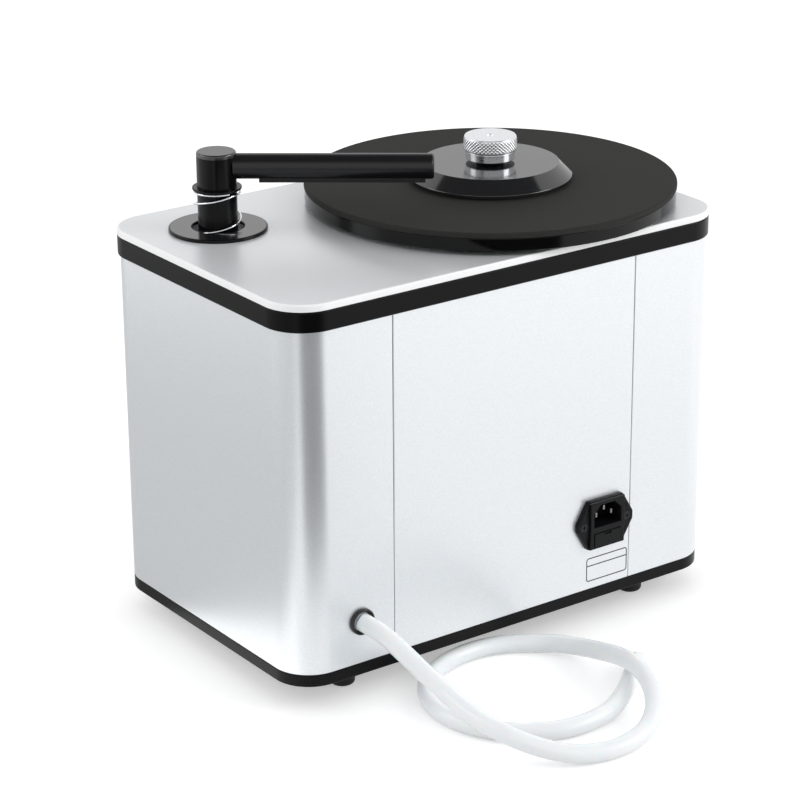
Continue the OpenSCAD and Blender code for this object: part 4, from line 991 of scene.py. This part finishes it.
def cross_line(reach, width, middle):
    """Outline of the cross recess in a screw head."""
    half = width / 2
    quarter = [(reach, -half), (reach, half), (half, half)]
    points = []
    for k in range(4):
        turn = Matrix.Rotation(math.pi / 2 * k, 2)
        points += [tuple(Vector(middle) + turn @ Vector(point)) for point in quarter]
    return points


def mirrored(half_outline, middle):
    """Closed outline from its right half, which is given from the top down, about the middle."""
    x, y = middle
    left_half = [(-across, up) for across, up in reversed(half_outline)]
    return [(x + across, y + up) for across, up in (*half_outline, *left_half)]


ear_line = [
    (flat_w / 2, flange_h / 2), (ear_w / 2, ear_half), (ear_w / 2, -ear_half), (flat_w / 2, -flange_h / 2),
]
ears = soften(mirrored(ear_line, (inlet_x, inlet_z)), [ear_round] * 8, 6, 0)
recess_line = [
    (recess_w / 2 - recess_cut, recess_h / 2), (recess_w / 2, recess_h / 2 - recess_cut),
    (recess_w / 2, -recess_h / 2),
]
recess = mirrored(recess_line, (inlet_x, inlet_z + recess_rise))
screw_xs = (inlet_x - screw_pitch / 2, inlet_x + screw_pitch / 2)
screw_holes = [circle((x, inlet_z), screw_head_r - flange_chamfer / 2, 24) for x in screw_xs]
flange_opening = box_line(opening_w, opening_h, (inlet_x, inlet_z - opening_drop))
slot_line = box_line(drawer_w, drawer_h, (inlet_x, drawer_z))
charcoal = grained(
    "charcoal_plastic", (19, 20, 22), (12, 13, 15), 0.0007, 0.42, uneven=0.05, relief=0.00001,
    Specular_IOR_Level=0.15,
)
flange_shape = bmesh.new()
plate(flange_shape, ears, [flange_opening, *screw_holes], 0, inlet_t, flange_chamfer, 2)
against_rear(flange_shape)
place("inlet_flange", flange_shape, charcoal, "case", ["power_inlet"])
frame_shape = bmesh.new()
plate(
    frame_shape, box_line(frame_w, frame_h, (inlet_x, inlet_z)), [recess, slot_line],
    inlet_face - recess_depth - rear_y, inlet_face - rear_y, frame_edge,
)
plate(
    frame_shape, box_line(inlet_body_w, inlet_body_h, (inlet_x, inlet_z)), [],
    inlet_low.y - rear_y, inlet_face - recess_depth - rear_y - skin_gap,
)
against_rear(frame_shape)
place("inlet_frame", frame_shape, charcoal, "case")

pins = bmesh.new()
pin_length = pins_high.y - inlet_face + recess_depth
for pin_x, pin_z in pin_places:
    middle = (inlet_x + pin_x, pins_high.y - pin_length / 2, inlet_z + pin_z)
    block(pins, middle, (pin_w, pin_length, pin_h))
dull_pin = grained("dull_pin", (150, 149, 146), (126, 125, 122), 0.003, 0.35, metal=1.0)
place("inlet_pin_blades", pins, dull_pin, "case", ["inlet_pins"], edge=pin_edge)

drawer = bmesh.new()
grip_line = box_line(grip_w, grip_h, (inlet_x, drawer_z + drawer_h / 2 - grip_h))
drawer_line = box_line(drawer_w - 2 * drawer_gap, drawer_h - 2 * drawer_gap, (inlet_x, drawer_z))
drawer_face = drawer_high.y - rear_y
plate(drawer, drawer_line, [grip_line], drawer_face - grip_depth, drawer_face, drawer_edge)
plate(drawer, drawer_line, [], drawer_low.y - rear_y, drawer_face - grip_depth - skin_gap)
against_rear(drawer)
place("fuse_drawer_front", drawer, charcoal, "drawer", ["fuse_drawer"])

screws = bmesh.new()
for x in screw_xs:
    head_line = circle((x, inlet_z), screw_head_r, 24)
    cross = cross_line(cross_reach, cross_w, (x, inlet_z))
    plate(screws, head_line, [cross], screw_top - head_t, screw_top, head_edge)
    shank = [
        (0, shank_end), (screw_shank_r, shank_end), (screw_shank_r, countersink),
        (screw_back_r, screw_back), (0, screw_back),
    ]
    lathe(screws, shank, (x, inlet_z), 32)
against_rear(screws)
dark_screw = grained("dark_screw", (58, 58, 61), (42, 42, 45), 0.002, 0.25, metal=0.9)
place("inlet_screw_heads", screws, dark_screw, "case", ["inlet_screws"])


# Drain bush
# Black rubber grommet in the left cover. Its mouth flares, and its outer lip is round.
bush_low, bush_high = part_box("drain_bush")
bush_middle = ((bush_low.x + bush_high.x) / 2, (bush_low.z + bush_high.z) / 2)
bush_r = (bush_high.x - bush_low.x) / 2
bush_bore = 0.0067
bush_flare = 0.0081
bush_groove_r = bush_r - 0.002
bush_edge = 0.0012
bush_foot_edge = 0.0008
mouth_edge = 0.0004
bush_in = bush_low.y - rear_y
bush_out = bush_high.y - rear_y
bush = lathed(
    [
        (bush_bore, bush_in), (bush_r, bush_in), (bush_r, -sheet_t), (bush_groove_r, -sheet_t),
        (bush_groove_r, 0), (bush_r, 0), (bush_r, bush_out), (bush_flare, bush_out), (bush_bore, 0),
    ],
    [0, bush_foot_edge, 0, 0, 0, 0, bush_edge, mouth_edge, 0], bush_middle, 64,
)
against_rear(bush)
bush_rubber = grained("bush_rubber", (30, 30, 32), (20, 20, 22), 0.001, 0.45, relief=0.00001)
place("drain_grommet", bush, bush_rubber, "case", ["drain_bush"])


# Switches
# Two black rocker switches on the front: the platter's direction and the vacuum. Each has a bevelled bezel.
# A rocker is one block with a shallow valley, and it turns on the pivot in its body.
rocker_w = switch_body_w - 0.005
rocker_h = switch_body_h - 0.004
rocker_axis_y = front_low.y + 0.0025
rocker_room = 0.0006
rocker_gap = 0.0002
rocker_edge = 0.0005
rocker_peak = -0.0079
rocker_slope = -0.0066
rocker_valley = -0.0055
rocker_back = 0.002
rocker_back_half = 0.003
rocker_shoulder = -0.001
shoulder_drop = 0.0006
peak_drop = 0.0012
bezel_edge = 0.0006
body_gap = 0.00005
well_depth = 0.009
switch_depth = 0.022
gloss_black = grained("switch_black", (26, 26, 28), (19, 19, 21), 0.002, 0.25, uneven=0.03)
bezels = bmesh.new()
for x in switch_xs:
    opening = box_line(rocker_w + 2 * rocker_gap, rocker_h + 2 * rocker_room, (x, switch_z))
    body_line = box_line(switch_body_w - 2 * body_gap, switch_body_h - 2 * body_gap, (x, switch_z))
    plate(bezels, box_line(bezel_w, bezel_h, (x, switch_z)), [opening], 0, bezel_t, bezel_edge)
    plate(bezels, body_line, [opening], -well_depth, 0)
    plate(bezels, body_line, [], -switch_depth, -well_depth - skin_gap)
front_side = Matrix(((1, 0, 0, 0), (0, 0, -1, front_low.y), (0, 1, 0, 0), (0, 0, 0, 1)))
bmesh.ops.transform(bezels, matrix=front_side, verts=bezels.verts)
place("switch_bezels", bezels, gloss_black, "case", ["switch_bodies"])

upper_side = [
    (rocker_back, rocker_back_half), (rocker_shoulder, rocker_h / 2 - shoulder_drop),
    (rocker_peak, rocker_h / 2 - peak_drop), (rocker_slope, rocker_h / 4),
]
lower_side = [(y, -z) for y, z in reversed(upper_side)]
rocker_side = [*upper_side, (rocker_valley, 0), *lower_side]
for node, body, x, tilt in (
    ("platter_rocker", "direction_rocker", switch_xs[0], 0.0),
    ("vacuum_rocker", "power_rocker", switch_xs[1], 9.0),
):
    rocker = bmesh.new()
    ends = []
    for side_x in (-rocker_w / 2, rocker_w / 2):
        ends.append([rocker.verts.new((side_x, y, z)) for y, z in rocker_side])
        rocker.faces.new(ends[-1])
    skin(rocker, ends)
    turned = Matrix.Translation((x, rocker_axis_y, switch_z)) @ Matrix.Rotation(math.radians(tilt), 4, "X")
    bmesh.ops.transform(rocker, matrix=turned, verts=rocker.verts)
    place(node + "_cap", rocker, gloss_black, body, [node], sharp=30, edge=rocker_edge)


# Pieces inside the case
# The drive, the waste tank, the fan with its motor, the board and the fixings keep their CAD solids.
# Each gets its own finish here, and none shows in the photograph.
inside = {
    "zinc": (
        ("seam_posts", "motor_bracket", "tank_rails"),
        (190, 192, 196), (172, 174, 178), 0.003, 0.4, 1.0,
    ),
    "screw_steel": (
        ("foot_screws", "post_screws", "deck_screws", "platter_screws", "clamp_ring"),
        (196, 197, 200), (178, 179, 183), 0.002, 0.3, 1.0,
    ),
    "cast_grey": (("arm_guide", "gear_motor", "vacuum_motor"), (92, 94, 98), (78, 80, 84), 0.002, 0.5, 0.6),
    "bearing_bronze": (
        ("swivel_sleeve", "spindle_bearing", "thrust_washer"),
        (178, 142, 88), (156, 122, 72), 0.002, 0.35, 1.0,
    ),
    "ground_steel": (
        ("spindle", "motor_shaft", "shaft_coupler"),
        (206, 207, 210), (190, 191, 195), 0.004, 0.2, 1.0,
    ),
    "inner_rubber": (
        ("column_seal", "duct_sleeve", "motor_mount", "vacuum_hose"),
        (34, 34, 35), (24, 24, 25), 0.002, 0.6, 0.0,
    ),
    "tank_plastic": (("waste_tank", "tank_lid"), (214, 219, 214), (200, 206, 201), 0.01, 0.4, 0.0),
    "housing_plastic": (("fan_housing", "fan_impeller"), (52, 54, 58), (42, 44, 48), 0.002, 0.45, 0.0),
    "board_green": (("power_board",), (44, 92, 58), (34, 76, 46), 0.004, 0.45, 0.0),
    "lead_cover": (("wiring_loom",), (42, 38, 36), (30, 27, 26), 0.002, 0.5, 0.0),
    "fuse_glass": (("fuse",), (206, 210, 214), (190, 195, 200), 0.002, 0.15, 0.2),
    "pipe_vinyl": (("drain_pipe",), (222, 229, 235), (208, 216, 224), 0.01, 0.3, 0.0),
}
for name, (nodes, light, dark, grain, rough, metal) in inside.items():
    material = grained(name, light, dark, grain, rough, metal, uneven=0.04)
    for node in nodes:
        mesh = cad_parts[node].data
        mesh.materials.clear()
        mesh.materials.append(material)


# Floor and light
# A wide pale floor keeps the object's soft shadow. The world is white to the camera and dimmer to surfaces.
# A large soft lamp stands at the right of the rear, a weaker one at the left. Cards shape the reflections.
plain_white = (1.0, 1.0, 1.0, 1.0)
floor_half = 12
card_x = 0.1
card_y = 0.08


def stage_sheet(name, corners, material):
    """Flat stage piece through its corners."""
    shape = bmesh.new()
    shape.faces.new([shape.verts.new(corner) for corner in corners])
    sheet = made_object(name, shape, material)
    return sheet


def level_patch(height, *corners):
    """Corners of a flat patch at one height."""
    return [(x, y, height) for x, y in corners]


def square_patch(half, height):
    """Corners of a level square round the origin."""
    return level_patch(height, (-half, -half), (half, -half), (half, half), (-half, half))


def white_behind(tree, low, high):
    """Strength that is high where the background is seen, also in metal and glass, and low elsewhere."""
    nodes = tree.nodes
    links = tree.links
    rays = nodes.new("ShaderNodeLightPath")
    seen = rays.outputs["Is Camera Ray"]
    for kind in ("Is Glossy Ray", "Is Transmission Ray"):
        either = nodes.new("ShaderNodeMath")
        either.operation = "MAXIMUM"
        links.new(seen, either.inputs[0])
        links.new(rays.outputs[kind], either.inputs[1])
        seen = either.outputs["Value"]
    strength = nodes.new("ShaderNodeMapRange")
    strength.inputs["To Min"].default_value = low
    strength.inputs["To Max"].default_value = high
    links.new(seen, strength.inputs["Value"])
    return strength.outputs["Result"]


floor_paint = grained(
    "pale_floor", (232, 232, 232), (229, 229, 229), 0.5, 0.9,
    Specular_IOR_Level=0.1, Emission_Color=plain_white,
)
floor_tree = floor_paint.node_tree
floor_glow = floor_tree.nodes["Principled BSDF"].inputs["Emission Strength"]
floor_tree.links.new(white_behind(floor_tree, 0.0, 0.4), floor_glow)
stage_sheet("floor", square_patch(floor_half, 0), floor_paint)


def grey_card(name, corners, level):
    """Card that only shows in polished surfaces, as a photographer's flag outside the picture does."""
    paint = grained(
        name, (10, 10, 10), (8, 8, 8), 0.5, 0.9,
        Specular_IOR_Level=0.0, Emission_Color=plain_white, Emission_Strength=level,
    )
    card = stage_sheet(name, corners, paint)
    card.visible_camera = False
    card.visible_diffuse = False
    card.visible_shadow = False
    card.visible_transmission = False


def floor_sector(start, end, near, far, height):
    """Corners of a patch of floor between two directions and two distances from the near corner."""
    corners = []
    for angle, reach in ((start, near), (start, far), (end, far), (end, near)):
        turn = math.radians(angle)
        corners.append((card_x + reach * math.cos(turn), card_y + reach * math.sin(turn), height))
    return corners


beside_left = level_patch(0.0025, (0.12, -0.7), (0.8, -0.7), (0.8, 0.25), (0.2, 0.13))
behind_rear = level_patch(0.001, (-0.3, 0.125), (0.08, 0.125), (-0.05, 0.6), (-0.6, 0.6))
overhead = square_patch(2.5, 3.4)
grey_card("card_before_case", floor_sector(42, 103, 0.33, 3.0, 0.002), 0.02)
grey_card("card_at_left", floor_sector(-110, 32, 0.56, 3.0, 0.003), 0.56)
grey_card("card_beside_left", beside_left, 1.5)
grey_card("card_behind_rear", behind_rear, 1.08)
grey_card("card_overhead", overhead, 0.12)


def soft_lamp(name, place_at, aim, size, power):
    """Square area lamp that looks at a point."""
    lamp_data = bpy.data.lights.new(name, "AREA")
    lamp_data.shape = "SQUARE"
    lamp_data.size = size
    lamp_data.energy = power
    lamp = bpy.data.objects.new(name, lamp_data)
    bpy.context.scene.collection.objects.link(lamp)
    lamp.location = place_at
    lamp.rotation_mode = "QUATERNION"
    lamp.rotation_quaternion = (Vector(aim) - Vector(place_at)).to_track_quat("-Z", "Y")


soft_lamp("rear_right", (-2.4, 2.4, 1.9), (0, 0, 0.1), 1.8, 45)
soft_lamp("left", (2.6, -1.8, 1.9), (0, 0, 0.1), 1.8, 22)

world = bpy.data.worlds.new("studio")
bpy.context.scene.world = world
world.use_nodes = True
sky = world.node_tree.nodes["Background"]
sky.inputs["Color"].default_value = plain_white
world.node_tree.links.new(white_behind(world.node_tree, 0.76, 1.0), sky.inputs["Strength"])
